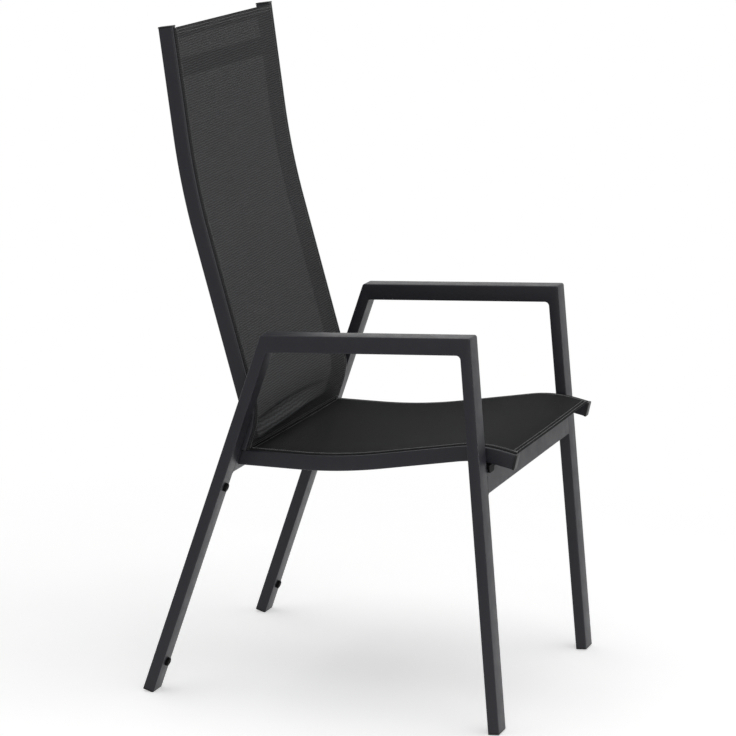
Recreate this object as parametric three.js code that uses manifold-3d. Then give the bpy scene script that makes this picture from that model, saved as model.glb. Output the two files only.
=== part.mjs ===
// A high-backed, stackable sling armchair: two welded tube side frames, joined by a front apron and a rear
// crossbeam, carry extruded rails whose keyhole grooves hold the seat sling and the back sling.
// Millimetres. +Z is up, the sitter faces -Y, and +X is the sitter's left.
import * as THREE from 'three';
import { mergeVertices } from 'three/addons/utils/BufferGeometryUtils.js';
import Module from 'manifold-3d';

const wasm = await Module();
wasm.setup();

// Facets round a bolt, a bore or a button
const roundSides = 12;

// Clearances
const seatGap = 0.3; // between pieces that are welded, pressed or screwed together
const overrun = 60; // how far a cutting body reaches past what it cuts
const holeClearance = 0.3; // round a bolt or a stem, on the radius

// Side frames: flat tubes, wide across the chair, that lean inward toward the top
const floorWidth = 585.3;
const splayDegrees = 0.9155;
const tubeWidth = 40.2;
const tubeWall = 1.5;
const tubeCorner = 2.4;
const legThickness = 19.2;
const armThickness = 28.3;
const frontReach = 289.4; // from the seat's datum forward to the front legs' front faces, at the floor
const rearReach = 317.3; // from the seat's datum back to the rear legs' front faces, at the floor
const frontLeanDegrees = 6.645;
const rearLeanDegrees = -17.2;
const armHeight = 635.5; // top of the armrest above the seat's datum
const armSlopeDegrees = 4.2;
const frontFillet = 7.5; // weld fillets inside the corners under the armrest
const rearFillet = 5;

// Foot caps
const soleThickness = 2.5;
const soleRounding = 0.8;
const frontLandCut = 0.5; // worn flat where the tilted sole meets the floor
const rearLandCut = 1;
const footPlugLength = 22;
const plugTaper = 0.5;

// Stacking bumpers on the rear legs
const upperBumperHeight = 361;
const lowerBumperHeight = 51;
const bumperRadius = 7.3;
const bumperProud = 5;
const bumperRounding = 1.6;
const bumperDimple = 2.6;
const bumperDimpleDepth = 0.8;
const bumperStemRadius = 3;
const bumperStemLength = 7;

// Cross members
const crossHeight = 40;
const apronBelowCrest = 8.05; // room for the saddles between the apron's front edge and the rails' undersides
const topBarHeight = 30;
const topBarThickness = 15;
const topBarWall = 1.4;
const topBarCorner = 2;
const topBarDrop = 55; // from the back rails' top ends to the bar's upper edge
const topBarSetback = 3.2; // behind the back rails' front faces

// Extruded rails
const railWidth = 16.7;
const railWall = 1.6;
const railCorner = 2;
const seatRailDepth = 25.5;
const backRailDepth = 23.5;
const lipThickness = 1.6; // over the groove's channel
const mouthClearance = 0.9; // on each side of the cloth in the groove's mouth
const channelClearance = 0.6; // round the hem in the channel
const seatRailGap = 13.8; // from the legs' inner faces to the seat rail
const backRailGap = 7.25; // from the rear leg's inner face to the back rail, at their bolt

// Seat rail's top line, from its front end
const seatOverhang = 43.9; // past the apron's front edge
const seatFrontHeight = 455.6;
const seatSlopeDegrees = 11.3;
const seatNose = 21;
const crestRadius = 215;
const crestSteps = 6;
const seatRearRadius = 510;
const seatRearSteps = 4;
const seatRearRun = 106.5;

// Back rail's front line, from its foot
const backFootProud = 5.9; // the back rail's front face ahead of the rear crossbeam's front face
const backFootRun = 30;
const backLeanDegrees = 17.4;
const backFootRadius = 105;
const backFootSteps = 6;
const lumbarRun = 278;
const backBendRadius = 1250;
const backBendSteps = 5;
const backTopLeanDegrees = 9.6;
const backTopRun = 176;

// Rail end caps
const seatCapThickness = 4;
const backCapThickness = 2.5;
const railCapOverhang = 0.4;
const railCapRounding = 1;
const railPlugLength = 16;

// Slings and the keder rods in their hems
const slingThickness = 1;
const kederRadius = 1.4;
const kederClearance = 0.5; // inside the hem's loop
const hemLoopFrom = 135; // degrees round the keder rod, where the hem's free edge lies
const hemLoopTo = 405;
const hemBend = 0.9;
const slingLift = 0.6; // of the cloth over the rail's face
const seatSag = 7;
const seatEdgeSag = 1.5;
const backSag = 2.5;
const backEdgeSag = 0.6;
const seatSlingEnd = 8; // left bare at the seat rail's rear end
const backSlingFoot = 6; // left bare at the back rail's foot
const backSlingTop = 2.5; // left bare under the back rail's top cap
const slingSpan = 75; // longest stretch between two cross sections
const panelShares = [0.82, 0.56, 0.28];

// Saddles between the apron and the seat rails
const saddleWidth = 27.4;
const saddleLegGap = 3.1; // from the front leg's inner face
const saddleTongue = 2.6;
const saddleDrop = 6.5; // of the tongue below the apron's top edge
const saddleRounding = 5;

// Fasteners
const boltRadius = 3;
const boltHeadRadius = 5.5;
const boltHeadHeight = 3.3;
const boltSocketRadius = 2;
const boltSocketDepth = 1.8;
const boltPastNut = 2;
const nutRadius = 5.6;
const nutHeight = 5;
const spacerRadius = 7;

const radians = THREE.MathUtils.degToRad;
const splaySlope = Math.tan(radians(splayDegrees));
const vec2 = (x, y) => new THREE.Vector2(x, y);

// Half the chair's width, over the side frames, at a height.
const halfWidthAt = (z) => floorWidth / 2 - z * splaySlope;

// The groove holds a hem that loops round its keder rod.
const hemLoopRadius = kederRadius + kederClearance + slingThickness / 2;
const channelRadius = hemLoopRadius + slingThickness / 2 + channelClearance;
const channelDepth = lipThickness + channelRadius; // of the channel's centre below the rail's face
const chamberTop = channelDepth + channelRadius + railWall;
const grooveMouth = slingThickness + 2 * mouthClearance;
const slingProud = slingLift + slingThickness / 2; // the cloth's middle surface above the rail's face
const seatRailInset = tubeWidth + seatRailGap; // from the side frame's outer face
const saddleInset = tubeWidth + saddleLegGap;

// Solids and geometry
function solidOf(geometry) {
  const bare = geometry.clone();
  bare.deleteAttribute('normal');
  bare.deleteAttribute('uv');
  const merged = mergeVertices(bare);
  return new wasm.Manifold(new wasm.Mesh({
    numProp: 3,
    vertProperties: new Float32Array(merged.attributes.position.array),
    triVerts: new Uint32Array(merged.index.array),
  }));
}

function geometryOf(solid) {
  const mesh = solid.getMesh();
  const geometry = new THREE.BufferGeometry();
  geometry.setAttribute('position', new THREE.BufferAttribute(new Float32Array(mesh.vertProperties), 3));
  geometry.setIndex(new THREE.BufferAttribute(new Uint32Array(mesh.triVerts), 1));
  return geometry;
}

function cut(geometry, ...tools) {
  return geometryOf(tools.reduce((rest, tool) => rest.subtract(solidOf(tool)), solidOf(geometry)));
}

function join(geometry, ...others) {
  return geometryOf(others.reduce((whole, other) => whole.add(solidOf(other)), solidOf(geometry)));
}

function common(geometry, other) {
  return geometryOf(solidOf(geometry).intersect(solidOf(other)));
}

// Faces turned round, for a surface that was mirrored or wound the other way.
function reversed(geometry) {
  const flipped = geometry.index ? geometry.toNonIndexed() : geometry.clone();
  const position = flipped.attributes.position;
  const a = new THREE.Vector3();
  const b = new THREE.Vector3();
  for (let i = 0; i < position.count; i += 3) {
    a.fromBufferAttribute(position, i + 1);
    b.fromBufferAttribute(position, i + 2);
    position.setXYZ(i + 1, b.x, b.y, b.z);
    position.setXYZ(i + 2, a.x, a.y, a.z);
  }
  return flipped;
}

function mirrored(geometry) {
  return reversed(geometry.clone().scale(-1, 1, 1));
}

// A closed skin over cross sections that have equally many corners. The ends are filled by `lids`, the
// triangles of the flat outline.
function skin(sections, lids) {
  const corners = [];
  const triangle = (a, b, c) => [a, b, c].forEach((p) => corners.push(p.x, p.y, p.z));
  sections.slice(1).forEach((upper, k) => {
    const lower = sections[k];
    lower.forEach((p, i) => {
      const next = (i + 1) % lower.length;
      triangle(p, lower[next], upper[next]);
      triangle(p, upper[next], upper[i]);
    });
  });
  const first = sections[0];
  const last = sections.at(-1);
  lids.forEach(([i, j, k]) => {
    triangle(first[k], first[j], first[i]);
    triangle(last[i], last[j], last[k]);
  });
  const geometry = new THREE.BufferGeometry();
  geometry.setAttribute('position', new THREE.Float32BufferAttribute(corners, 3));
  return geometry;
}

// A convex body of stacked outlines, each [outline, height], as a moulded cap or plug is.
function stack(...layers) {
  const sections = layers.map(([outline, height]) => outline.map((p) => new THREE.Vector3(p.x, p.y, height)));
  const lids = THREE.ShapeUtils.triangulateShape(layers[0][0], []);
  return skin(sections, lids);
}

function arc(centre, radius, from, to, steps) {
  return Array.from({ length: steps + 1 }, (_, i) => {
    const angle = radians(from + ((to - from) * i) / steps);
    return vec2(centre.x + radius * Math.cos(angle), centre.y + radius * Math.sin(angle));
  });
}

const circle = (radius) => arc(vec2(0, 0), radius, 0, 360, roundSides).slice(1);

// A rounded rectangle between two corners, anticlockwise.
function rounded(x0, x1, y0, y1, radius, steps = 3) {
  return [
    ...arc(vec2(x1 - radius, y1 - radius), radius, 0, 90, steps),
    ...arc(vec2(x0 + radius, y1 - radius), radius, 90, 180, steps),
    ...arc(vec2(x0 + radius, y0 + radius), radius, 180, 270, steps),
    ...arc(vec2(x1 - radius, y0 + radius), radius, 270, 360, steps),
  ];
}

function extruded(outline, length, holes = []) {
  const shape = new THREE.Shape(outline);
  shape.holes = holes.map((hole) => new THREE.Path(hole));
  return new THREE.ExtrudeGeometry(shape, { depth: length, bevelEnabled: false });
}

// A hollow flat tube along +Z: its front face at y = 0 and its outer face at x = 0.
function flatTube(width, thickness, wall, corner, length) {
  const outer = rounded(-width, 0, 0, thickness, corner);
  const inner = rounded(-width + wall, -wall, wall, thickness - wall, corner - wall, 2);
  return extruded(outer, length, [inner]);
}

// A round body on the Z axis, from a profile of [radius, height] pairs that starts and ends on the axis.
function turned(profile, sides = roundSides) {
  return new THREE.LatheGeometry(profile.map(([r, h]) => vec2(r, h)), sides).rotateX(Math.PI / 2);
}

function drill(radius, length) {
  return new THREE.CylinderGeometry(radius, radius, length, roundSides).rotateX(Math.PI / 2);
}

// Side plane: y back, z up. A line is a point and its lean from upright.
const leanVector = (degrees) => vec2(Math.sin(radians(degrees)), Math.cos(radians(degrees)));

function meet(p, leanP, q, leanQ) {
  const a = leanVector(leanP);
  const b = leanVector(leanQ);
  const reach = (q.clone().sub(p).cross(b)) / a.cross(b);
  return p.clone().addScaledVector(a, reach);
}

const besides = (p, lean, distance) => {
  const along = leanVector(lean);
  return vec2(p.x + along.y * distance, p.y - along.x * distance);
};

// Turns a body built along +Z to a lean from upright, standing on a point of the side plane.
function leaning(geometry, lean, point) {
  return geometry.rotateX(-radians(lean)).translate(0, point.x, point.y);
}

// Leans a body inward with its side frame, from a place measured inboard from the frame's outer face.
function splayed(geometry) {
  const shear = new THREE.Matrix4().set(1, 0, -splaySlope, floorWidth / 2, 0, 1, 0, 0, 0, 0, 1, 0, 0, 0, 0, 1);
  return geometry.applyMatrix4(shear);
}

// Everything on one side of a line in the side plane: behind it for an upright line.
function sideOf(point, lean, turnedRound = false) {
  const size = floorWidth + frontReach + rearReach;
  const block = new THREE.BoxGeometry(size, size, size * 2);
  return leaning(block.translate(0, (turnedRound ? -size : size) / 2, 0), lean, point);
}

// The side frame's corners
const frontFoot = vec2(-frontReach, 0);
const rearFoot = vec2(rearReach, 0);
const armDatum = vec2(0, armHeight);
const armLean = 90 + armSlopeDegrees;
const armUnderside = besides(armDatum, armLean, armThickness);
const frontLegBack = besides(frontFoot, frontLeanDegrees, legThickness);
const rearLegBack = besides(rearFoot, rearLeanDegrees, legThickness);
const frontTop = meet(frontFoot, frontLeanDegrees, armDatum, armLean);
const frontTopInside = meet(frontLegBack, frontLeanDegrees, armUnderside, armLean);
const rearTop = meet(rearLegBack, rearLeanDegrees, armDatum, armLean);
const rearTopInside = meet(rearFoot, rearLeanDegrees, armUnderside, armLean);
const leanBetween = (from, to) => THREE.MathUtils.radToDeg(Math.atan2(to.x - from.x, to.y - from.y));
const frontMitre = leanBetween(frontTopInside, frontTop);
const rearMitre = leanBetween(rearTopInside, rearTop);

// A run in the side plane: from a start, with a heading up from +Y, along straights and arcs.
function run(start, heading, moves) {
  const stations = [{ y: start.x, z: start.y, heading }];
  for (const { straight, turn, radius, steps = 1 } of moves) {
    const from = stations.at(-1);
    for (let i = 1; i <= steps; i += 1) {
      if (straight !== undefined) {
        const angle = radians(from.heading);
        stations.push({
          y: from.y + straight * Math.cos(angle),
          z: from.z + straight * Math.sin(angle),
          heading: from.heading,
        });
      } else {
        const bend = Math.sign(turn) * radius;
        const next = from.heading + (turn * i) / steps;
        stations.push({
          y: from.y + bend * (Math.sin(radians(next)) - Math.sin(radians(from.heading))),
          z: from.z + bend * (Math.cos(radians(from.heading)) - Math.cos(radians(next))),
          heading: next,
        });
      }
    }
  }
  return stations;
}

// Where the legs' front faces stand at a height
const frontFaceAt = (z) => vec2(-frontReach + z * Math.tan(radians(frontLeanDegrees)), z);
const rearFaceAt = (z) => vec2(rearReach + z * Math.tan(radians(rearLeanDegrees)), z);

// Each seat rail rises to a crest over the apron, falls to a hollow and ends against the rear crossbeam.
const seatSlope = leanVector(seatSlopeDegrees);
const crestRise = seatNose * seatSlope.x + crestRadius * (1 - seatSlope.y);
const apronTop = frontFaceAt(seatFrontHeight + crestRise - seatRailDepth - apronBelowCrest);
const seatFront = vec2(apronTop.x - seatOverhang, seatFrontHeight);
const rearTurnDrop = seatRearRadius * (1 - seatSlope.y);
const seatNoseTop = seatFrontHeight + seatNose * seatSlope.x;
const seatCurves = (2 * crestRadius + seatRearRadius) * seatSlope.x;
const seatStraights = seatNose * seatSlope.y + seatRearRun;
const seatFallReach = rearFaceAt(seatNoseTop - rearTurnDrop).x - seatFront.x - seatCurves - seatStraights;
const rearSlope = Math.tan(radians(rearLeanDegrees));
const seatFall = seatFallReach / (seatSlope.y + rearSlope * seatSlope.x);
const seatLine = run(seatFront, seatSlopeDegrees, [
  { straight: seatNose },
  { turn: -2 * seatSlopeDegrees, radius: crestRadius, steps: crestSteps },
  { straight: seatFall },
  { turn: seatSlopeDegrees, radius: seatRearRadius, steps: seatRearSteps },
  { straight: seatRearRun },
]);
const seatEnd = seatLine.at(-1);

// The cross members' lower front edges: the beam's top clears the seat rails' ends for the back rails' feet.
const apronFoot = apronTop.clone().addScaledVector(leanVector(frontLeanDegrees), -crossHeight);
const rearUp = leanVector(rearLeanDegrees);
const beamTopHeight = seatEnd.z - backFootProud * rearUp.x + seatGap;
const beamFoot = rearFaceAt(beamTopHeight - crossHeight * rearUp.y);

// Each back rail stands on the rear crossbeam, in line with the legs, and bends back over the lumbar.
const beamTop = beamFoot.clone().addScaledVector(rearUp, crossHeight + seatGap);
const backFoot = besides(beamTop, rearLeanDegrees, -backFootProud);
const backLine = run(backFoot, 90 - rearLeanDegrees, [
  { straight: backFootRun },
  { turn: rearLeanDegrees - backLeanDegrees, radius: backFootRadius, steps: backFootSteps },
  { straight: lumbarRun },
  { turn: backLeanDegrees - backTopLeanDegrees, radius: backBendRadius, steps: backBendSteps },
  { straight: backTopRun },
]);
const backChamberMiddle = (chamberTop + backRailDepth - railWall) / 2;
const footBend = vec2(backLine[1].y, backLine[1].z);
const backBoltPlace = besides(footBend, rearLeanDegrees, backChamberMiddle);
const legInnerX = halfWidthAt(backBoltPlace.y) - tubeWidth;
const backHalfWidth = legInnerX - backRailGap;

// How far up its leg the sole of a square-ended foot cap lies, so that its lowest edge meets the floor.
function soleAt(lean, landCut) {
  const slope = Math.tan(radians(lean));
  const lowest = Math.max(soleRounding * slope, (legThickness - soleRounding) * slope);
  return lowest - landCut / Math.cos(radians(lean));
}
const frontSole = soleAt(frontLeanDegrees, frontLandCut);
const rearSole = soleAt(rearLeanDegrees, rearLandCut);
const bumperPlaces = [upperBumperHeight, lowerBumperHeight].map((z) => z / leanVector(rearLeanDegrees).y);

function leg(foot, lean, sole, holes) {
  const start = sole + soleThickness + seatGap;
  const tube = flatTube(tubeWidth, legThickness, tubeWall, tubeCorner, armHeight + overrun).translate(0, 0, start);
  return leaning(holes.length ? cut(tube, ...holes) : tube, lean, foot);
}

function frontLeg() {
  const tube = leg(frontFoot, frontLeanDegrees, frontSole, []);
  const mitre = sideOf(besides(frontTop, frontMitre, -seatGap / 2), frontMitre);
  return splayed(cut(tube, mitre));
}

function rearLeg() {
  const stems = bumperPlaces.map((place) =>
    drill(bumperStemRadius + holeClearance, legThickness).rotateX(Math.PI / 2).translate(-tubeWidth / 2, 0, place));
  const tube = leg(rearFoot, rearLeanDegrees, rearSole, stems);
  const mitre = sideOf(besides(rearTop, rearMitre, seatGap / 2), rearMitre, true);
  return cut(splayed(cut(tube, mitre)), backBoltHole());
}

// A concave fillet in the corner between two lines, whose arms run from `corner` along two leans.
function fillet(corner, leanA, leanB, radius) {
  const a = leanVector(leanA);
  const b = leanVector(leanB);
  const half = Math.acos(a.dot(b)) / 2;
  const middle = a.clone().add(b).normalize();
  const centre = corner.clone().addScaledVector(middle, radius / Math.sin(half));
  const touchA = corner.clone().addScaledVector(a, radius / Math.tan(half));
  const from = THREE.MathUtils.radToDeg(touchA.clone().sub(centre).angle());
  const touchB = corner.clone().addScaledVector(b, radius / Math.tan(half));
  const turn = THREE.MathUtils.radToDeg(touchB.clone().sub(centre).angle()) - from;
  const shortTurn = ((turn + 540) % 360) - 180;
  const root = corner.clone().addScaledVector(middle, -tubeWall);
  const outline = [root, ...arc(centre, radius, from, from + shortTurn, 5)];
  const ordered = THREE.ShapeUtils.isClockWise(outline) ? outline.reverse() : outline;
  return acrossChair(ordered, tubeWidth - 2 * tubeCorner).translate(-tubeWidth / 2, 0, 0);
}

// A side-plane outline given a width across the chair, centred on x = 0.
function acrossChair(outline, width, holes = []) {
  const turn = new THREE.Matrix4().set(0, 0, 1, -width / 2, 1, 0, 0, 0, 0, 1, 0, 0, 0, 0, 0, 1);
  return extruded(outline, width, holes).applyMatrix4(turn);
}

function armrest() {
  const length = frontTop.distanceTo(rearTop) + 2 * overrun;
  const tube = flatTube(tubeWidth, armThickness, tubeWall, tubeCorner, length).translate(0, 0, -overrun);
  const bar = leaning(tube, armLean, frontTop);
  const front = sideOf(besides(frontTop, frontMitre, seatGap / 2), frontMitre, true);
  const rear = sideOf(besides(rearTop, rearMitre, -seatGap / 2), rearMitre);
  const fillets = [
    cut(fillet(frontTopInside, armLean, frontLeanDegrees + 180, frontFillet),
      sideOf(besides(frontLegBack, frontLeanDegrees, seatGap), frontLeanDegrees, true)),
    cut(fillet(rearTopInside, armLean + 180, rearLeanDegrees + 180, rearFillet),
      sideOf(besides(rearFoot, rearLeanDegrees, -seatGap), rearLeanDegrees)),
  ];
  return splayed(cut(join(bar, ...fillets), front, rear));
}

// A cap with a rounded sole over a tube's end and a tapered plug inside it.
function footCap(foot, lean, sole) {
  const at = sole + soleThickness;
  const edge = soleRounding;
  const inside = tubeWall + seatGap;
  const corner = tubeCorner - tubeWall;
  const plug = (inset, height) =>
    [rounded(-tubeWidth + inset, -inset, inset, legThickness - inset, corner), height];
  const cap = stack(
    [rounded(-tubeWidth + edge, -edge, edge, legThickness - edge, tubeCorner - edge), sole],
    [rounded(-tubeWidth, 0, 0, legThickness, tubeCorner), sole + edge],
    [rounded(-tubeWidth, 0, 0, legThickness, tubeCorner), at],
    plug(inside, at),
    plug(inside, at + footPlugLength - soleThickness),
    plug(inside + plugTaper, at + footPlugLength),
  );
  const floor = sideOf(vec2(0, 0), 90);
  return splayed(cut(leaning(cap, lean, foot), floor));
}

function bumper(place) {
  const face = bumperProud + seatGap;
  const profile = [
    [0, face - bumperDimpleDepth],
    [bumperDimple / 2, face - bumperDimpleDepth],
    [bumperDimple, face],
    [bumperRadius - bumperRounding, face],
    [bumperRadius, face - bumperRounding],
    [bumperRadius, seatGap],
    [bumperStemRadius, seatGap],
    [bumperStemRadius, -bumperStemLength + bumperRounding],
    [bumperStemRadius - bumperRounding / 2, -bumperStemLength],
    [0, -bumperStemLength],
  ].reverse();
  const button = turned(profile).rotateX(Math.PI / 2).translate(-tubeWidth / 2, 0, place);
  return splayed(leaning(button, rearLeanDegrees, rearFoot));
}

// A hollow cross member that fills the room between the legs' inner faces, leaning with them.
function crossMember(base, lean) {
  const outer = rounded(0, legThickness, 0, crossHeight, tubeCorner);
  const inner = rounded(tubeWall, legThickness - tubeWall, tubeWall, crossHeight - tubeWall, tubeCorner - tubeWall, 2);
  const unit = leaning(acrossChair(outer, 2, [inner]), lean, base);
  return stretchedAcross(unit, (z) => halfWidthAt(z) - tubeWidth - seatGap);
}

// Stretches a body that reaches from x = -1 to x = 1 to a half width that follows the height.
function stretchedAcross(geometry, halfWidth) {
  const position = geometry.attributes.position;
  for (let i = 0; i < position.count; i += 1) {
    position.setX(i, position.getX(i) * halfWidth(position.getZ(i)));
  }
  return geometry;
}

function frontApron() {
  const bar = crossMember(apronFoot, frontLeanDegrees);
  return cut(bar, seatBoltHole(), mirrored(seatBoltHole()));
}

function rearCrossbeam() {
  return crossMember(beamFoot, rearLeanDegrees);
}

// Which way a rail's face looks at a station of its run.
const faceNormal = ({ heading }) => vec2(-Math.sin(radians(heading)), Math.cos(radians(heading)));

// A run as a path for extrusion: the section's x goes inboard and its y out of the rail's face.
class SidePath extends THREE.Curve {
  constructor(stations) {
    super();
    this.stations = stations;
  }

  at(u) {
    return this.stations[Math.round(u * (this.stations.length - 1))];
  }

  getPointAt(u) {
    const { y, z } = this.at(u);
    return new THREE.Vector3(0, y, z);
  }

  computeFrenetFrames() {
    const tangents = this.stations.map(({ heading }) =>
      new THREE.Vector3(0, Math.cos(radians(heading)), Math.sin(radians(heading))));
    const normals = this.stations.map(() => new THREE.Vector3(-1, 0, 0));
    const binormals = this.stations.map((station) => {
      const normal = faceNormal(station);
      return new THREE.Vector3(0, normal.x, normal.y);
    });
    return { tangents, normals, binormals };
  }
}

function sweep(outline, stations, holes = []) {
  const shape = new THREE.Shape(outline);
  shape.holes = holes.map((hole) => new THREE.Path(hole));
  return new THREE.ExtrudeGeometry(shape, {
    extrudePath: new SidePath(stations),
    steps: stations.length - 1,
    bevelEnabled: false,
  });
}

// Puts a body built on a rail's section, with z along the rail, at a station of its run.
function atStation(geometry, station) {
  const normal = faceNormal(station);
  const frame = new THREE.Matrix4().makeBasis(
    new THREE.Vector3(-1, 0, 0),
    new THREE.Vector3(0, normal.x, normal.y),
    new THREE.Vector3(0, normal.y, -normal.x),
  );
  return geometry.applyMatrix4(frame.setPosition(0, station.y, station.z));
}

// The extrusion's section: a keyhole groove in the face and a hollow chamber behind it.
const grooveCentre = vec2(railWidth / 2, -channelDepth);

function railOutline(depth) {
  const r = railCorner;
  const half = THREE.MathUtils.radToDeg(Math.asin(grooveMouth / 2 / channelRadius));
  return [
    ...arc(vec2(railWidth - r, -r), r, 0, 90, 2),
    vec2(grooveCentre.x + grooveMouth / 2, 0),
    ...arc(grooveCentre, channelRadius, 90 - half, half - 270, 8),
    vec2(grooveCentre.x - grooveMouth / 2, 0),
    ...arc(vec2(r, -r), r, 90, 180, 2),
    ...arc(vec2(r, r - depth), r, 180, 270, 2),
    ...arc(vec2(railWidth - r, r - depth), r, 270, 360, 2),
  ];
}

function chamber(depth, inset = 0) {
  const side = railWall + inset;
  return rounded(side, railWidth - side, railWall + inset - depth, -chamberTop - inset, railCorner / 2, 1);
}

const placedSeatRail = (geometry) => splayed(geometry.translate(-seatRailInset, 0, 0));
const placedBackRail = (geometry) => geometry.translate(backHalfWidth, 0, 0);

function seatRail() {
  const past = { ...seatEnd, y: seatEnd.y + seatRailDepth };
  const rail = sweep(railOutline(seatRailDepth), [...seatLine.slice(0, -1), past], [chamber(seatRailDepth)]);
  const behind = sideOf(besides(rearFoot, rearLeanDegrees, -seatGap), rearLeanDegrees);
  return cut(placedSeatRail(cut(rail, behind)), seatBoltHole());
}

function backRail() {
  const rail = sweep(railOutline(backRailDepth), backLine, [chamber(backRailDepth)]);
  return cut(placedBackRail(rail), backBoltHole());
}

// A moulded cap over a rail's end: `past` is -1 before the first station and 1 beyond the last one.
function railCap(depth, thickness, past) {
  const over = railCapOverhang;
  const cornerSteps = 1; // as many corners as the plug in the chamber has
  const outer = (inset) =>
    rounded(-over + inset, railWidth + over - inset, -depth - over + inset, over - inset, railCorner, cornerSteps);
  const layers = [
    [outer(railCapRounding), seatGap + thickness],
    [outer(0), seatGap + thickness - railCapRounding],
    [outer(0), seatGap],
    [chamber(depth, seatGap), seatGap],
    [chamber(depth, seatGap), plugTaper - railPlugLength],
    [chamber(depth, seatGap + plugTaper), -railPlugLength],
  ];
  return stack(...(past > 0 ? layers.reverse() : layers.map(([outline, height]) => [outline, -height])));
}

function seatRailCap() {
  return placedSeatRail(atStation(railCap(seatRailDepth, seatCapThickness, -1), seatLine[0]));
}

function backRailCap() {
  return placedBackRail(atStation(railCap(backRailDepth, backCapThickness, 1), backLine.at(-1)));
}

// The stretch of a run that a sling covers, with longer straights divided.
function stretch(stations, bareStart, bareEnd) {
  const moved = (station, distance) => ({
    y: station.y + distance * Math.cos(radians(station.heading)),
    z: station.z + distance * Math.sin(radians(station.heading)),
    heading: station.heading,
  });
  const kept = [moved(stations[0], bareStart), ...stations.slice(1, -1), moved(stations.at(-1), -bareEnd)];
  return kept.flatMap((station, k) => {
    if (k === 0) return [station];
    const from = kept[k - 1];
    const pieces = Math.ceil(Math.hypot(station.y - from.y, station.z - from.z) / slingSpan);
    return Array.from({ length: pieces }, (_, i) => {
      const share = (i + 1) / pieces;
      return {
        y: THREE.MathUtils.lerp(from.y, station.y, share),
        z: THREE.MathUtils.lerp(from.z, station.z, share),
        heading: THREE.MathUtils.lerp(from.heading, station.heading, share),
      };
    });
  });
}

const seatStretch = stretch(seatLine, 0, seatSlingEnd);
const backStretch = stretch(backLine, backSlingFoot, backSlingTop);

// A keder rod lies in the middle of the groove's channel, over the length of its sling.
function kederRod(stations) {
  return sweep(arc(grooveCentre, kederRadius, 0, 315, 7), stations);
}

// The middle line of a sling's cross section, from the loop round one keder rod to the other one.
function slingMiddle(grooveX, innerX, sag) {
  const mouth = hemLoopRadius * Math.SQRT2 - channelDepth;
  const half = [
    ...arc(vec2(grooveX, -channelDepth), hemLoopRadius, hemLoopFrom, hemLoopTo, 6),
    vec2(grooveX, mouth),
    vec2(grooveX, slingProud - hemBend * Math.SQRT1_2),
    vec2(grooveX - hemBend, slingProud),
    vec2(innerX, slingProud),
    ...panelShares.map((share) => vec2(innerX * share, slingProud - sag * (1 - share * share))),
  ];
  const other = half.map((p) => vec2(-p.x, p.y)).reverse();
  return [...half, vec2(0, slingProud - sag), ...other];
}

// A ribbon of cloth: both faces of a middle line, as one closed outline.
function ribbon(middle, thickness) {
  const faces = [1, -1].map((face) => middle.map((p, i) => {
    const before = middle[Math.max(i - 1, 0)];
    const after = middle[Math.min(i + 1, middle.length - 1)];
    const into = p.clone().sub(before).normalize();
    const out = after.clone().sub(p).normalize();
    const along = into.clone().add(out).normalize();
    const spread = Math.max(along.dot(into), along.dot(out));
    return vec2(p.x - (along.y * face * thickness) / 2 / spread, p.y + (along.x * face * thickness) / 2 / spread);
  }));
  return [...faces[0], ...faces[1].reverse()];
}

function sling(stations, railOuterAt, middleSag, edgeSag) {
  const outlines = stations.map((station, i) => {
    const share = i / (stations.length - 1);
    const sag = edgeSag + (middleSag - edgeSag) * Math.sin(Math.PI * share);
    const outer = railOuterAt(station.z);
    return ribbon(slingMiddle(outer - grooveCentre.x, outer - railWidth, sag), slingThickness);
  });
  const sections = outlines.map((outline, i) => {
    const { y, z } = stations[i];
    const normal = faceNormal(stations[i]);
    return outline.map((p) => new THREE.Vector3(p.x, y + p.y * normal.x, z + p.y * normal.y));
  });
  const lids = THREE.ShapeUtils.triangulateShape(outlines[0], []).map(([a, b, c]) => [c, b, a]);
  return skin(sections, lids); // the ribbon's outline runs clockwise, so its lids are turned round
}

function seatSling() {
  return sling(seatStretch, (z) => halfWidthAt(z) - seatRailInset, seatSag, seatEdgeSag);
}

function backSling() {
  return sling(backStretch, () => backHalfWidth, backSag, backEdgeSag);
}

// The bar that holds the back rails apart near their top ends.
function backTopCrossbar() {
  const top = backLine.at(-1);
  const lean = 90 - top.heading;
  const middle = besides(vec2(top.y, top.z), lean, topBarSetback);
  const foot = middle.addScaledVector(leanVector(lean), -topBarDrop - topBarHeight);
  const outer = rounded(0, topBarThickness, 0, topBarHeight, topBarCorner);
  const wall = topBarWall;
  const inner = rounded(wall, topBarThickness - wall, wall, topBarHeight - wall, topBarCorner - wall, 1);
  const width = 2 * (backHalfWidth - railWidth - seatGap);
  return leaning(acrossChair(outer, width, [inner]), lean, foot);
}

// The saddle: a pad between the apron's top and the seat rail, with a tongue down the apron's face.
function undersideAt(y) {
  const k = seatLine.findIndex((station) => station.y > y);
  const from = seatLine[k - 1];
  const to = seatLine[k];
  const share = (y - from.y) / (to.y - from.y);
  return THREE.MathUtils.lerp(from.z, to.z, share) - seatRailDepth / Math.cos(radians(from.heading));
}

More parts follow.
